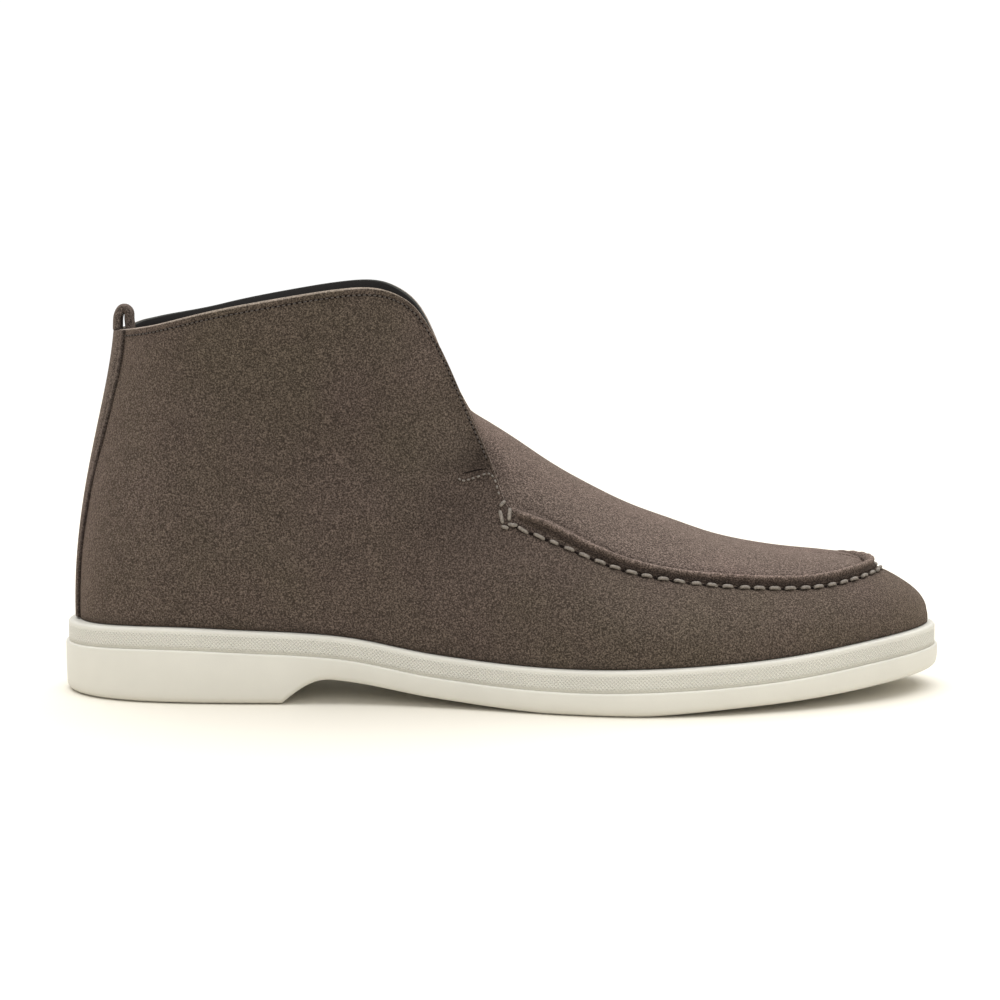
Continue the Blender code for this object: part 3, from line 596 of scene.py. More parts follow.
def swells(side, point, t):
    """How far the lasted suede leaves the smooth wall: each crease is a depth times exp(-u^2 - v^2) with
    u and v the offsets along and across it over its half sizes, plus a slow ripple of sines. It dies out
    towards the sole and the top edge, where the wall is held. The inner side takes the same creases a
    little further back and shallower."""
    x, z = point[..., 0] + (INNER_SHIFT if side > 0 else 0.0), point[..., 2]
    total = np.zeros(x.shape)
    for at, high, long, wide, turn, depth in CREASES:
        c, s = math.cos(math.radians(turn)), math.sin(math.radians(turn))
        u = ((x - at) * c + (z - high) * s) / long
        v = (-(x - at) * s + (z - high) * c) / wide
        total += depth * np.exp(-u * u - v * v)
    ripple = np.sin(x * 130 + z * 60 + side) * np.sin(z * 150 - x * 40) * RIPPLE
    held = ease(t, 0.02, 0.22) * (1 - 0.75 * ease(t, 0.88, 1.0))
    return (total * (1.0 if side < 0 else INNER_SHARE) + ripple) * held


# Suede: the nap is a dense grain of light and dark flecks half a millimetre apart over faint broad patches of
# a browner hue. A point attribute lightens or darkens it with painted light and painted shade: shade along
# seams, stitch rows, hollows and the feather, and light on the lip's top and in paler places.
suede_nap, given, add, dress = group_setup(
    "suede nap",
    [
        ("Colour", "NodeSocketColor", (0.105, 0.079, 0.066, 1.0)),
        ("Patch hue", "NodeSocketColor", (0.095, 0.078, 0.055, 1.0)),
        ("Fleck size", "NodeSocketFloat", 1950.0),
        ("Fleck contrast", "NodeSocketFloat", 6.0),
    ],
    [("Colour", "NodeSocketColor"), ("Height", "NodeSocketFloat")],
)
hue = spread(add, noise(add, 22.0, 3.0), 0.42, 0.68, 0.0, 0.8)
hues = {"Factor": hue, "A": given["Colour"], "B": given["Patch hue"]}
mixed = add("ShaderNodeMix", hues, data_type="RGBA").outputs["Result"]
flecks = noise(add, given["Fleck size"], 2.0, Roughness=0.6)
grain = maths(add, "MULTIPLY", maths(add, "SUBTRACT", flecks, 0.5), given["Fleck contrast"])
broad = spread(add, noise(add, 210.0, 3.0), 0.3, 0.7, -0.09, 0.09)
shade = maths(add, "ADD", maths(add, "ADD", grain, broad), 1.0)
shade = maths(add, "MAXIMUM", shade, 0.5)
# Painted light and shade: the point attribute's change of brightness multiplies the colour.
painted_shading = add("ShaderNodeAttribute", {}, attribute_name="painted_shading").outputs["Fac"]
shade = maths(add, "MULTIPLY", shade, maths(add, "ADD", painted_shading, 1.0))
dress({"Colour": shaded(add, mixed, shade), "Height": maths(add, "MULTIPLY_ADD", broad, 2.0, grain)})


def suede_material(name, colour, patch, contrast=6.0):
    """A suede with its own two hues: the nap group for colour and relief, and a soft sheen at the edges."""
    made, add, dress = material_setup(name)
    hues = {"Colour": (*colour, 1.0), "Patch hue": (*patch, 1.0), "Fleck contrast": contrast}
    nap = add("ShaderNodeGroup", hues, node_tree=suede_nap).outputs
    dress({
        "Base Color": nap["Colour"],
        "Normal": dents(add, nap["Height"], 0.5, 0.0003),
        "Roughness": 0.95,
        "Specular IOR Level": 0.05,
        "Sheen Weight": 0.22,
        "Sheen Roughness": 0.5,
        "Sheen Tint": (0.80, 0.60, 0.48, 1.0),
    })
    return made


# The quarter takes a darker copy of the suede than the strip's middle colour: painted shade on the upper's
# walls.
shaded_quarter_suede = suede_material("shaded_quarter_suede", (0.086, 0.065, 0.054), (0.080, 0.064, 0.048))
raw_edge = suede_material("raw_edge", (0.27, 0.225, 0.19), (0.24, 0.20, 0.16), contrast=2.5)

lining_cloth, add, dress = material_setup("lining_cloth")
dress({
    "Base Color": (0.024, 0.022, 0.021, 1.0),
    "Roughness": 0.85,
    "Specular IOR Level": 0.2,
    "Normal": dents(add, noise(add, 900.0, 2.0), 0.3, 0.0002),
})

# The lining's rim is a lighter grey copy of the lining with felt flecks: painted light on the collar's inner
# edge, while the darker cloth below stands for the shade inside.
lit_lining_edge, add, dress = material_setup("lit_lining_edge")
felt = noise(add, 1200.0, 3.0)
greys = {"Factor": felt, "A": (0.022, 0.022, 0.020, 1.0), "B": (0.080, 0.081, 0.074, 1.0)}
dress({
    "Base Color": add("ShaderNodeMix", greys, data_type="RGBA").outputs["Result"],
    "Normal": dents(add, felt, 0.6, 0.0003),
    "Roughness": 0.9,
    "Specular IOR Level": 0.1,
})

# The moccasin seam's running stitch: share along half the outline and t on the wall.
STITCH_ROW = [
    (0.5140, 0.935), (0.5246, 0.927), (0.5538, 0.930), (0.5972, 0.940), (0.6439, 0.947), (0.6931, 0.928),
    (0.7423, 0.922), (0.7773, 0.918), (0.8165, 0.915), (0.8582, 0.910), (0.9091, 0.915), (1.0000, 0.918),
]
STITCH_PITCH = 0.0055
HEM = 0.0020
HEM_END = 0.484
SEAM_PULL = 0.00030
PLEAT_PULL = 0.00028
HEM_PULL = 0.00018
# Painted shade: how much darker the suede is painted along the moccasin seam's stitch row and its pleats,
# along the collar's stitch row and along the feather by the sole, and the half widths of these lines.
SEAM_SHADE = 0.42
PLEAT_SHADE = 0.15
SEAM_HALF = 0.0011
HEM_SHADE = 0.16
HEM_HALF = 0.0006
FEATHER_SHADE = 0.30
FEATHER_REACH = 0.0012

# Painted shade and painted light on the outer side, darker in the hollows at and below the bar tack and over
# the middle of the quarter, and paler in a few places, mostly low down near the floor: the middle as distance
# from the heel and height, half sizes, and the change of brightness.
SHADES = [
    (0.1440, 0.0830, 0.0055, 0.0070, -0.42),
    (0.1370, 0.0800, 0.0090, 0.0035, -0.22),
    (0.1360, 0.0640, 0.0150, 0.0120, -0.22),
    (0.1260, 0.1120, 0.0080, 0.0180, 0.08),
    (0.0950, 0.0950, 0.0380, 0.0300, -0.10),
    (0.0300, 0.0600, 0.0080, 0.0500, 0.10),
    (0.2400, 0.0280, 0.0450, 0.0160, 0.12),
    (0.1000, 0.0330, 0.0500, 0.0100, 0.05),
]


def seam_walk(side):
    """Distance walked along the stitch row from its start, as shares and distances."""
    shares = np.linspace(0.50, 1, 400)
    path = wall_point(side, shares, column(STITCH_ROW, 1, shares))
    return shares, run_of(path)


def pleats(side, share):
    """How the stitches pinch the seam: the cosine of the distance walked over the stitch pitch."""
    shares, walked = seam_walk(side)
    return np.cos(2 * math.pi * np.interp(share, shares, walked) / STITCH_PITCH)


def wall_length(side, share):
    """How fast the wall runs past its top edge per unit of t: three times its last Bezier leg."""
    handles = wall_handles(side, share)
    return 3 * np.linalg.norm(handles[3] - handles[2], axis=-1)


def upper_painted_shading(side, share, t, point):
    """Painted light and shade: the shades as exp(-u^2 - v^2), a painted dark line of shade along each row of
    stitches and along the feather where the upper meets the sole, and the moccasin seam's pleats shaded by a
    cosine of the stitch pitch."""
    x, z = point[..., 0], point[..., 2]
    painted_shading = np.zeros(x.shape)
    for at, high, long, tall, change in SHADES:
        painted_shading += change * np.exp(-(((x - at) / long) ** 2) - ((z - high) / tall) ** 2)
    row = column(STITCH_ROW, 1, np.clip(share, 0.514, 1))
    length = wall_length(side, share)
    below = (row - t) * length
    seam = ease(share, 0.506, 0.518)
    painted_shading -= seam * (SEAM_SHADE + PLEAT_SHADE * pleats(side, share)) * np.exp(-((below / SEAM_HALF) ** 2))
    hem = (1 - t) * length - HEM
    painted_shading -= (1 - ease(share, HEM_END, 0.5)) * HEM_SHADE * np.exp(-((hem / HEM_HALF) ** 2))
    painted_shading -= FEATHER_SHADE * np.exp(-((z - sole_top(x)) / FEATHER_REACH))
    return painted_shading


def upper_ring(share, rows, lip):
    """The upper's grid and its painted light and shade: rows up the outside with the swells, round the top
    edge in a half ellipse, and down the inside. Rows lists t on the way up, lip the angles over the edge. The
    seam row is pulled in by the stitches, deepest at their ends."""
    halves, painted_shadings = [], []
    for side in (-1, 1):
        s, t = np.meshgrid(share, rows, indexing="ij")
        smooth = wall_point(side, s, t)
        below = (column(STITCH_ROW, 1, np.clip(s, 0.514, 1)) - t) * wall_length(side, s)
        pull = -(SEAM_PULL + PLEAT_PULL * pleats(side, s)) * ease(s, 0.506, 0.52)
        pull *= np.exp(-((below / 0.0012) ** 2))
        hem = (1 - t) * wall_length(side, s) - HEM
        pull -= HEM_PULL * (1 - ease(s, HEM_END, 0.5)) * np.exp(-((hem / 0.0005) ** 2))
        outside = smooth + wall_normal(side, s, t) * (swells(side, smooth, t) + pull)[..., None]
        s2, t2 = np.meshgrid(share, rows[::-4], indexing="ij")
        inside = wall_point(side, s2, t2, np.full(s2.shape, UPPER_WALL))
        inside[:, -1, 2] = outside[:, 0, 2]
        edge, across = outside[:, -1:], inside[:, :1]
        handles = wall_handles(side, share)
        up = unit(handles[3] - handles[2])[:, None]
        half = (edge - across) / 2
        turn = lip[None, :, None]
        over = (edge + across) / 2 + half * np.cos(turn) + up * np.sin(turn) * UPPER_WALL * 0.22
        halves.append(np.concatenate([outside, over, inside], 1))
        shade = np.zeros(halves[-1].shape[:2])
        shade[:, : len(rows)] = upper_painted_shading(side, s, t, smooth)
        painted_shadings.append(shade)
    return tuple(np.concatenate([outer, inner[-2:0:-1]]) for outer, inner in (halves, painted_shadings))


UPPER_SHARES = np.concatenate([
    np.linspace(0, 0.36, 100, endpoint=False),
    np.linspace(0.36, 0.51, 60, endpoint=False),
    np.linspace(0.51, 1, 161),
])
UPPER_ROWS = np.concatenate([np.linspace(0, 0.86, 58, endpoint=False), np.linspace(0.86, 1, 40)])
LIP = np.linspace(0, math.pi, 9)[1:-1]
grid, painted_shading = upper_ring(UPPER_SHARES, UPPER_ROWS, LIP)
slots = np.full(grid.shape[1], 2)
slots[: len(UPPER_ROWS) - 1] = 0
slots[len(UPPER_ROWS) - 1 : len(UPPER_ROWS) + 3] = 1
# The three rows inside the lip take the lighter rim copy of the lining as painted light, and the rows below
# take the near-black cloth as painted shade.
slots[len(UPPER_ROWS) + 3 : len(UPPER_ROWS) + 6] = 3
made_of = [shaded_quarter_suede, raw_edge, lining_cloth, lit_lining_edge]
upper = shell("upper_suede", grid, made_of, closed=True, slots=slots, painted_shading=painted_shading)
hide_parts("upper")
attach(upper, "root")

# The apron is the suede plug over the instep and toes. Its edge is pinched up with the wall's edge into a
# rounded lip that stands about 2.4 mm proud, with a groove on the apron's side. Its back end, the tongue, is
# tucked under the quarters.

CREST_HEIGHT = 0.097
APRON_THICKNESS = 0.0020
ROLL_WIDTH = 0.0026
ROLL_HEIGHT = 0.0024
TUCK_DEPTH = 0.0070
TONGUE_START = 0.460
TUCK_END = 0.486
ROLL_START = 0.508
ROLL_FULL = 0.524
GROOVE = 0.0008
LIP_DROP = 0.0013
APRON_RIPPLE = 0.00028
INSTEP_FOLD = 0.0007

# Share of the length, share of CREST_HEIGHT.
CREST = [
    (0.4115, 1.083), (0.4626, 0.987), (0.5079, 0.902), (0.5531, 0.806), (0.5993, 0.724), (0.6446, 0.655),
    (0.6908, 0.600), (0.7360, 0.548), (0.7823, 0.511), (0.8285, 0.484), (0.8737, 0.469), (0.9229, 0.455),
]

# Share along half the outline, share of the length where the rib meets the ridge line.
RIB_ENDS = [
    (0.460, 0.4312), (0.506, 0.5000), (0.617, 0.6318), (0.745, 0.7606), (0.875, 0.8344), (1.000, 0.8757),
]


# The lip across: inwards from the wall's edge in ROLL_WIDTH, height in ROLL_HEIGHT, how much the stitches
# pinch it, and the change of brightness, which is painted light on the lip's rounded top and painted shade on
# its faces.
LIP_PROFILE = [
    (1.30, 0.06, 0.00, -0.10), (1.12, 0.10, 0.00, -0.35), (0.98, 0.28, 0.01, -0.40),
    (0.90, 0.52, 0.02, -0.10), (0.80, 0.78, 0.03, 0.15), (0.66, 0.98, 0.05, 0.40),
    (0.50, 1.06, 0.05, 0.50), (0.34, 1.04, 0.05, 0.35), (0.20, 0.94, 0.05, 0.05),
    (0.09, 0.78, 0.04, -0.25), (0.03, 0.58, 0.03, -0.40), (0.00, 0.36, 0.02, -0.50),
    (-0.02, 0.16, 0.01, -0.55),
]


def apron_rib(side, shares, along):
    """Closed profiles of the apron, one a share: along its top from the ridge line to the edge, over the
    lip and back underneath. The top is a Bezier from the wall's edge to the ridge, with soft hollows."""
    ones = np.ones_like(shares)
    edge = wall_point(side, shares, ones)
    normal = wall_normal(side, shares, ones)
    handles = wall_handles(side, shares)
    inward = unit(handles[3] - handles[2])
    normal = unit(normal - inward * (normal * inward).sum(-1, keepdims=True))
    sink = (UPPER_WALL + 2 * GAP) * (1 - ease(shares, TUCK_END, ROLL_START))
    tuck = TUCK_DEPTH * (1 - ease(shares, TONGUE_START, TUCK_END))
    roll = ease(shares, ROLL_START, ROLL_FULL)
    crest_x = SOLE_LENGTH * column(RIB_ENDS, 1, shares)
    crest_z = CREST_HEIGHT * column(CREST, 1, crest_x / SOLE_LENGTH)
    crest = np.stack([crest_x, foot_middle(crest_x), crest_z], -1)

    def skin(depth, rows, folds):
        """Points from the ridge to the edge, a depth under the face, with folds and a groove in it."""
        start = edge - normal * (sink + depth)[..., None]
        end = crest - np.array([0, 0, 1]) * depth[..., None]
        length = np.linalg.norm(end - start, axis=-1)[..., None]
        level = unit((start - end) * (1, 1, 0))
        points = (start, start + inward * 0.36 * length, end + level * 0.42 * length, end)
        t = np.broadcast_to(rows, shares.shape + rows.shape)
        face = bezier([p[:, None] for p in points], t)
        if folds:
            away = t * length
            dip = -GROOVE * roll[:, None] * np.exp(-(((away - ROLL_WIDTH * 1.15) / 0.0011) ** 2))
            x = face[..., 0]
            wave = np.sin(x * 95 + away * 160) * np.sin(away * 120 - x * 50 + side)
            fold = np.exp(-(((x - 0.166) / 0.012) ** 2)) * np.sin(np.pi * np.clip(t, 0, 1))
            wave = (APRON_RIPPLE * wave - INSTEP_FOLD * fold) * ease(t, 0.08, 0.35) * (1 - ease(t, 0.75, 1.0))
            face = face + normal[:, None] * (dip + wave)[..., None]
        return face

    def near_edge(inward_by, raised_by):
        """A point set from the wall's top edge: inwards along the surface and up along its normal."""
        tucked = np.clip(tuck / (handles[3] - handles[0])[..., 2], 0, 0.5)
        base = wall_point(side, shares, 1 - tucked)
        base_normal = np.where(tucked[..., None] > 0, wall_normal(side, shares, 1 - tucked), normal)
        return base + inward * inward_by[..., None] + base_normal * raised_by[..., None]

    clear = 2 * GAP * (1 - roll)
    body = -sink
    pleat = pleats(side, shares)
    lip = []
    for inwards, raised, pinch, change in LIP_PROFILE:
        u = clear + ROLL_WIDTH * inwards * (0.6 + 0.4 * roll)
        v = body + ROLL_HEIGHT * roll * (raised - pinch * pleat)
        lip.append(near_edge(u, v))
    low = 1 - LIP_DROP / wall_length(side, shares) * roll
    foot = wall_point(side, shares, low) + wall_normal(side, shares, low) * 0.0002
    foot = foot * roll[:, None] + near_edge(clear, body) * (1 - roll[:, None])
    rim = lip + [
        foot,
        near_edge(clear * ones, body),
        near_edge(2 * GAP * ones, body - 0.9 * APRON_THICKNESS),
    ]
    rows = np.concatenate([np.linspace(1, 0.3, along, endpoint=False), np.linspace(0.3, 0.10, along // 2)])
    outer = skin(0 * ones, rows, True)
    under = skin(APRON_THICKNESS * ones, np.linspace(0.12, 1, along // 2), False)
    painted_shading = np.zeros((len(shares), outer.shape[1] + len(rim) + under.shape[1]))
    # Painted light and shade: the top lighter towards the toe, the tongue darker where the quarters cover it,
    # the lip lighter on its top and darker on its faces, and its foot and underside darker.
    painted_shading[:, : outer.shape[1]] += 0.10 * ease(outer[..., 0], 0.16, 0.25)
    painted_shading[:, : outer.shape[1]] -= 0.20 * (1 - ease(shares, 0.49, 0.52))[:, None] * (1 - ease(rows, 0.1, 0.3))
    changes = np.array([row[3] for row in LIP_PROFILE] + [-0.5, -0.5, -0.5])
    painted_shading[:, outer.shape[1] : outer.shape[1] + len(rim)] = roll[:, None] * changes
    return np.concatenate([outer, np.stack(rim, 1), under], 1), painted_shading


# The apron takes a lighter copy of the same suede: painted light on its up-facing top.
apron_suede = suede_material("apron_suede", (0.116, 0.089, 0.075), (0.124, 0.090, 0.077))
APRON_SHARES = np.concatenate([
    np.linspace(TONGUE_START, ROLL_FULL, 40, endpoint=False),
    np.linspace(ROLL_FULL, 1, 200),
])
outer, outer_painted_shading = apron_rib(-1, APRON_SHARES, 40)
inner, inner_painted_shading = apron_rib(1, APRON_SHARES, 40)
grid = np.concatenate([outer, inner[-2::-1]])
painted_shading = np.concatenate([outer_painted_shading, inner_painted_shading[-2::-1]])
apron = shell("apron_suede", grid, [apron_suede], around=False, painted_shading=painted_shading, merge=1e-6)
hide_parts("apron")
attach(apron, "root")

# The threads are a thick waxed running stitch in pale grey-beige round the moccasin seam, with a knot at each
# end of it, and a fine dark lockstitch 2 mm inside the collar and the V front. Each stitch is a tube that
# dives into its holes, and the holes are painted shade: small near-black tubes sunk a little into the surface
# between the stitches.

THREAD_LENGTH = 0.0036
THREAD_WIDTH = 0.00125
THREAD_LIFT = 0.0005
FINE_PITCH = 0.0018


def strands(name, lines, ups, width, rise, made_of, around=10, blunt=6, twist=0.0):
    """Threads as closed tubes, one a line of points. A ring is width/2 cos a sideways and rise/2 sin a
    along ups, times (1 - |2k-1|^blunt)^(1/2) with k the share of the length, so the ends are round. twist
    is the depth of the ply marks, a sine of 2 a plus the distance along the thread. A thread that would
    start past the end of its seam has no length and is left out."""
    whole = np.linalg.norm(lines[:, -1] - lines[:, 0], axis=-1) > 1e-6
    lines, ups = lines[whole], ups[whole]
    count, rows = lines.shape[:2]
    k = np.linspace(0, 1, rows)
    along = unit(np.gradient(lines, axis=1))
    sideways = unit(np.cross(along, ups))
    high = np.cross(sideways, along)
    a = np.linspace(0, 2 * math.pi, around, endpoint=False)
    radius = np.sqrt(np.clip(1 - np.abs(2 * k - 1) ** blunt, 0, 1))[:, None] * np.ones(around)
    radius = radius * (1 + twist * np.sin(2 * a + 26 * k[:, None]))
    ring = sideways[:, :, None] * (radius * np.cos(a) * width / 2)[None, ..., None]
    ring = ring + high[:, :, None] * (radius * np.sin(a) * rise / 2)[None, ..., None]
    points = lines[:, :, None] + ring
    index = np.arange(count * rows * around).reshape(count, rows, around)
    after = np.roll(index, -1, axis=2)
    faces = np.stack([index[:, :-1], after[:, :-1], after[:, 1:], index[:, 1:]], -1).reshape(-1, 4)
    mesh = bpy.data.meshes.new(name)
    mesh.from_pydata(points.reshape(-1, 3) + TO_ROW_FRAME, [], faces)
    mesh.materials.append(made_of)
    piece = placed(mesh, 1e-6, fill=False)
    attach(piece, "root")
    return piece


def thread_material(name, colour):
    """Waxed thread: one hue in short lighter and darker streaks, a little gloss."""
    made, add, dress = material_setup(name)
    streak = noise(add, 1400.0, 2.0)
    dress({
        "Base Color": shaded(add, colour, spread(add, streak, 0.3, 0.7, 0.65, 1.25)),
        "Normal": dents(add, streak, 0.5, 0.0002),
        "Roughness": 0.6,
    })
    return made


def on_wall(side, share, t, lift):
    """Points on the upper with its swells and seam pull, lifted along the normal, and the normals."""
    smooth = wall_point(side, share, t)
    normal = wall_normal(side, share, t)
    return smooth + normal * (swells(side, smooth, t) + lift)[..., None], normal


pale_thread = thread_material("pale_thread", (0.215, 0.185, 0.155))
fine_thread = thread_material("fine_thread", (0.075, 0.06, 0.05))
light_thread = thread_material("light_thread", (0.19, 0.165, 0.14))
# Near-black for the holes and the tack's crease: painted shade where they lie in shadow.
hole_shade, add, dress = material_setup("hole_shade")
dress({"Base Color": (0.012, 0.009, 0.008, 1.0), "Roughness": 1.0, "Specular IOR Level": 0.0})

k = np.linspace(0, 1, 13)
for side, label in ((-1, "outer"), (1, "inner")):
    shares, walked = seam_walk(side)
    start = np.interp(0.5215, shares, walked)
    middles = np.arange(start, walked[-1] - 0.0006, STITCH_PITCH)
    jitter = np.random.default_rng(7 + side).normal(0, 1, (3, len(middles)))
    lengths = THREAD_LENGTH * (1 + 0.08 * jitter[0])
    places = middles[:, None] + 0.0002 * jitter[1][:, None] + lengths[:, None] * (k - 0.5)
    share = np.interp(places, walked, shares)
    t = column(STITCH_ROW, 1, share) + 0.004 * jitter[2][:, None] * (2 * k - 1)
    lift = THREAD_LIFT * (1 - 1.9 * (2 * k - 1) ** 4) * np.ones(share.shape)
    lines, ups = on_wall(side, share, t, lift)
    strands("moccasin_stitches_" + label, lines, ups, THREAD_WIDTH, 0.0011, pale_thread, twist=0.07)
    # The holes between the stitches: near-black tubes, painted shade.
    gaps = middles - STITCH_PITCH / 2
    places = gaps[:, None] + 0.0016 * (k - 0.5)
    share = np.interp(places, walked, shares)
    lines, ups = on_wall(side, share, column(STITCH_ROW, 1, share), np.full(share.shape, -0.0003))
    strands("moccasin_hole_shades_" + label, lines, ups, 0.0010, 0.0008, hole_shade, around=8, blunt=3)

# The knot that ends the running stitch, and the bar tack that holds the V: strands by their two ends, each
# as share along half the outline and t, with width and lift.
KNOT = [
    (0.5035, 1.000, 0.4990, 0.915, 0.0013, 0.0005), (0.4987, 0.892, 0.5029, 0.855, 0.0015, 0.0005),
    (0.5085, 1.010, 0.5090, 0.925, 0.0014, 0.0012), (0.5080, 0.905, 0.5165, 0.945, 0.0013, 0.0006),
    (0.5013, 0.826, 0.5085, 0.884, 0.0011, 0.0004),
]
TACK = [
    (0.4555, 0.679, 0.4569, 0.682, 0.0007, 0.0002), (0.4595, 0.694, 0.4621, 0.707, 0.0007, 0.0002),
    (0.4651, 0.729, 0.4673, 0.745, 0.0007, 0.0002), (0.4701, 0.769, 0.4723, 0.787, 0.0007, 0.0002),
    (0.4754, 0.817, 0.4779, 0.842, 0.0007, 0.0002), (0.4810, 0.876, 0.4832, 0.901, 0.0007, 0.0002),
    (0.4856, 0.927, 0.4869, 0.940, 0.0007, 0.0002), (0.4889, 0.956, 0.4902, 0.964, 0.0007, 0.0002),
    (0.4920, 0.970, 0.4930, 0.970, 0.0007, 0.0002), (0.4942, 0.967, 0.4949, 0.963, 0.0007, 0.0002),
    (0.4962, 0.960, 0.4972, 0.960, 0.0007, 0.0002),
]
# A painted line of shade along the crease by the bar tack, as share along half the outline and t.
TACK_CREASE_SHADE = [(0.4570, 0.702), (0.4662, 0.767), (0.4737, 0.832), (0.4812, 0.905), (0.4887, 0.985)]
k = np.linspace(0, 1, 11)
for side, label in ((-1, "outer"), (1, "inner")):
    for name, table, made_of in (("knot_", KNOT, pale_thread), ("tack_", TACK, light_thread)):
        rows = np.array(table)
        share = rows[:, :1] + (rows[:, 2:3] - rows[:, :1]) * k
        t = np.clip(rows[:, 1:2] + (rows[:, 3:4] - rows[:, 1:2]) * k, 0, 1)
        lift = rows[:, 5:6] + 0.0006 * (1 - (2 * k - 1) ** 4) - 0.0004
        lines, ups = on_wall(side, share, t, lift)
        strands(name + label, lines, ups, rows[0, 4], 0.9 * rows[0, 4], made_of, twist=0.06)
    # The crease's shade: a thin near-black strand sunk a little into the surface.
    rows = np.array(TACK_CREASE_SHADE)
    share = np.linspace(rows[0, 0], rows[-1, 0], 40)
    lines, ups = on_wall(side, share[None], column(TACK_CREASE_SHADE, 1, share)[None], np.full((1, 40), -0.0001))
    strands("tack_crease_" + label, lines, ups, 0.0007, 0.0004, hole_shade, around=6, blunt=2)

# The fine rows along the collar and the V front.
k = np.linspace(0, 1, 7)
for side, label in ((-1, "outer"), (1, "inner")):
    shares = np.linspace(0.034, 0.484, 500)
    row = 1 - HEM / wall_length(side, shares)
    path = wall_point(side, shares, row)
    walked = run_of(path)
    middles = np.arange(0.001, walked[-1], FINE_PITCH)
    # The holes between the fine stitches are near-black tubes, painted shade.
    for name, length, width, lift, made_of, shift in (
        ("hem_stitches_", 0.0012, 0.0005, 0.00008, fine_thread, 0.0),
        ("hem_hole_shades_", 0.0007, 0.0006, -0.00012, hole_shade, FINE_PITCH / 2),
    ):
        share = np.interp(middles[:, None] + shift + length * (k - 0.5), walked, shares)
        t = np.interp(share, shares, row)
        lines, ups = on_wall(side, share, t, np.full(share.shape, lift))
        strands(name + label, lines, ups, width, 0.0004, made_of, around=6, blunt=4)

# The strip of the same suede covers the heel's back seam. It is glued over the quarters and stitched down
# both edges, which shows here as a shallow dent with a painted line of shade in it, and it is a little wider
# at the top. Its edges and underside are painted darker as shade where it meets the quarters.

STRIP_THICKNESS = 0.0011
STRIP_WIDTH = 0.0206
STRIP_SEAM = 0.80
STRIP_DENT = 0.00045


def walk_share(t, distances):
    """Shares along the outline at which the wall's row t has run these distances from the heel's back."""
    shares = np.linspace(0, 0.16, 120)
    path = wall_point(-1, shares, t)
    walked = run_of(path)
    return np.interp(distances, walked, shares)


def strip_sections(levels, places, heights):
    """Rows of the strip, one a level t: points at places across, as shares of half its width, raised
    over the wall by heights."""
    rows = []
    for t in levels:
        half = STRIP_WIDTH / 2 * (0.72 + 0.28 * t)
        row = np.empty((len(places), 3))
        for side in (-1, 1):
            mine = places <= 0 if side < 0 else places > 0
            share = walk_share(t, np.abs(places[mine]) * half)
            row[mine] = wall_point(side, share, np.full(share.shape, t), -heights[mine])
        rows.append(row)
    return np.array(rows)


strip_suede = suede_material("strip_suede", (0.100, 0.078, 0.068), (0.092, 0.076, 0.060))
places = np.concatenate([np.linspace(-1, -0.85, 6), np.linspace(-0.8, 0.8, 25), np.linspace(0.85, 1, 6)])
bulge = STRIP_THICKNESS * (1 - 0.75 * np.abs(places) ** 14)
dent = np.exp(-(((places - STRIP_SEAM) / 0.07) ** 2)) + np.exp(-(((places + STRIP_SEAM) / 0.07) ** 2))
levels = np.linspace(0.004, 1, 90)
top = strip_sections(levels, places, GAP + bulge - STRIP_DENT * dent)
under = strip_sections(levels, places, np.full(places.shape, GAP * 0.3))
grid = np.concatenate([top, under[:, ::-1]], 1)
across = np.abs(places)
# Painted shade: darker at the strip's edges and along its stitch dents, and darker underneath.
edge_painted_shading = -0.55 * ease(across, 0.88, 1) - 0.15 * np.exp(-(((across - STRIP_SEAM) / 0.05) ** 2))
painted_shading = np.broadcast_to(np.concatenate([edge_painted_shading, np.full(places.shape, -0.5)]), grid.shape[:2])
strip = shell("heel_strip_suede", grid, [strip_suede], around=False, closed=True, painted_shading=painted_shading)
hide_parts("heel_strip")
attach(strip, "root")

# The pull loop is a short folded band of suede sewn over the top of the strip and into the lining.

LOOP_WIDTH = 0.0080
LOOP_THICKNESS = 0.0022
LOOP_RISE = 0.0088
LOOP_GRIP = 0.0110
LOOP_PUFF = 1.2


def loop_path(count):
    """The loop's middle line in the plane of symmetry, as distances and heights: a spline from the end
    of the strip over the collar and down inside the wall."""
    half = LOOP_THICKNESS / 2
    outside = GAP + STRIP_THICKNESS - half
    inside = UPPER_WALL + 2 * GAP + half
    ends = wall_point(-1, np.zeros(2), np.array([0.0, 1.0]))
    back, collar = ends[1][[0, 2]]
    down = 1 - LOOP_GRIP / (collar - ends[0][2]) * np.array([0.0, 0.33, 0.66, 1.0])
    inner_leg = wall_point(-1, 0 * down, down, 0 * down + inside)[:, [0, 2]]
    bow = [
        (back - outside, collar + GAP),
        (back - outside + 0.01 * LOOP_RISE, collar + 0.36 * LOOP_RISE),
        (back + 0.04 * LOOP_RISE, collar + 0.68 * LOOP_RISE),
        (back + 0.22 * LOOP_RISE, collar + LOOP_RISE - half),
        (back + 0.40 * LOOP_RISE, collar + 0.72 * LOOP_RISE),
        (back + 0.42 * LOOP_RISE, collar + 0.48 * LOOP_RISE),
        (back + inside, collar + 0.20 * LOOP_RISE),
    ]
    points = np.concatenate([bow, inner_leg])
    knots = run_of(points)
    return spline(knots, points, np.linspace(0, knots[-1], count))


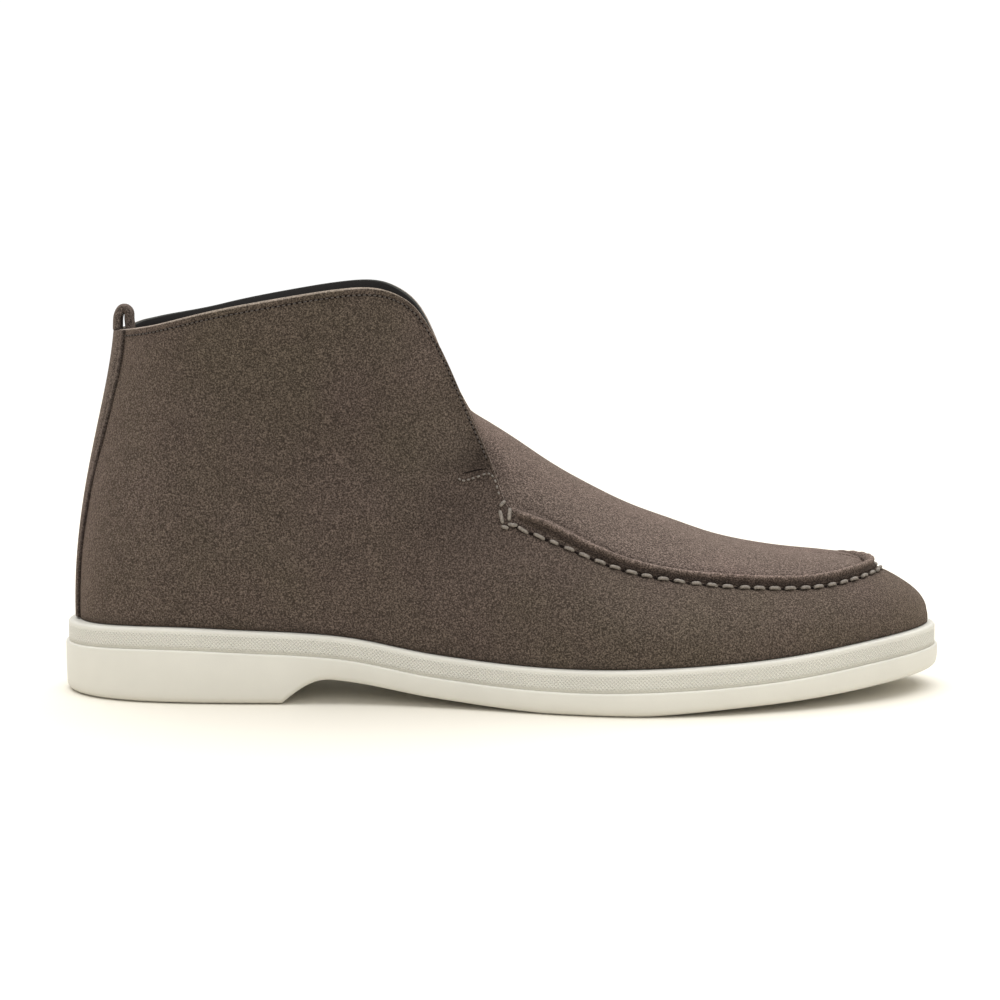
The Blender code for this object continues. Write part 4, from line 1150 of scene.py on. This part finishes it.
path = loop_path(90)
along = unit(np.gradient(path, axis=0))
out = np.stack([-along[:, 1], along[:, 0]], -1)
turn = np.linspace(0, 2 * math.pi, 40, endpoint=False)
flat_cos = np.sign(np.cos(turn)) * np.abs(np.cos(turn)) ** 0.45
flat_sin = np.sign(np.sin(turn)) * np.abs(np.sin(turn)) ** 0.7
edge = wall_point(-1, walk_share(np.array(1.0), LOOP_WIDTH / 2), np.array(1.0))
curl = edge[0] - wall_point(-1, np.array(0.0), np.array(1.0))[0]
x = path[:, :1] + out[:, :1] * flat_sin * LOOP_PUFF * LOOP_THICKNESS / 2 + curl * flat_cos**2
z = path[:, 1:] + out[:, 1:] * flat_sin * LOOP_PUFF * LOOP_THICKNESS / 2
y = np.broadcast_to(flat_cos * LOOP_WIDTH / 2, x.shape)
loop = shell("pull_loop_suede", np.stack([x, y, z], -1), [strip_suede], around=False, closed=True)
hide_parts("pull_loop")
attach(loop, "root")

# A pale floor under soft light from above, with a white room round it.

floor_paint, add, dress = material_setup("floor_paint")
dress({"Base Color": (0.84, 0.80, 0.71, 1.0), "Roughness": 0.6})
bpy.ops.mesh.primitive_plane_add(size=2.4, location=(0, 0, -0.0002))
floor = bpy.context.object
floor.name = "floor"
floor.data.materials.append(floor_paint)

world = bpy.data.worlds.new("room")
bpy.context.scene.world = world
world.use_nodes = True
add, dress = node_tools(world.node_tree, world.node_tree.nodes["Background"])
seen = add("ShaderNodeLightPath", {}).outputs["Is Camera Ray"]
dress({"Color": (1.0, 1.0, 0.995, 1.0), "Strength": spread(add, seen, 0.0, 1.0, 0.5, 1.05)})
bpy.context.scene.view_settings.view_transform = "Standard"


def soft_light(name, place, aim, size, power):
    """A square area light at a place, turned towards a point."""
    light = bpy.data.lights.new(name, "AREA")
    light.shape = "RECTANGLE"
    light.size, light.size_y = size
    light.energy = power
    lamp = bpy.data.objects.new(name, light)
    lamp.location = place
    lamp.rotation_euler = (Vector(aim) - Vector(place)).to_track_quat("-Z", "Y").to_euler()
    bpy.context.scene.collection.objects.link(lamp)


soft_light("overhead", (0.0, 0.45, 1.7), (0, 0.2, 0.0), (3.2, 3.0), 72)
soft_light("front", (0.1, -1.6, 0.9), (0, 0, 0.06), (1.2, 0.8), 5)

camera_data = bpy.data.cameras.new("camera")
camera = bpy.data.objects.new("camera", camera_data)
camera_data.lens = 95.0
camera_data.sensor_width = 36.0
camera_data.shift_x = -0.003
camera_data.shift_y = -0.0195
camera.location = (0.0, -0.900, 0.180)
camera.rotation_euler = (Vector((0, 0, 0.072)) - camera.location).to_track_quat("-Z", "Y").to_euler()
bpy.context.scene.collection.objects.link(camera)
bpy.context.scene.camera = camera
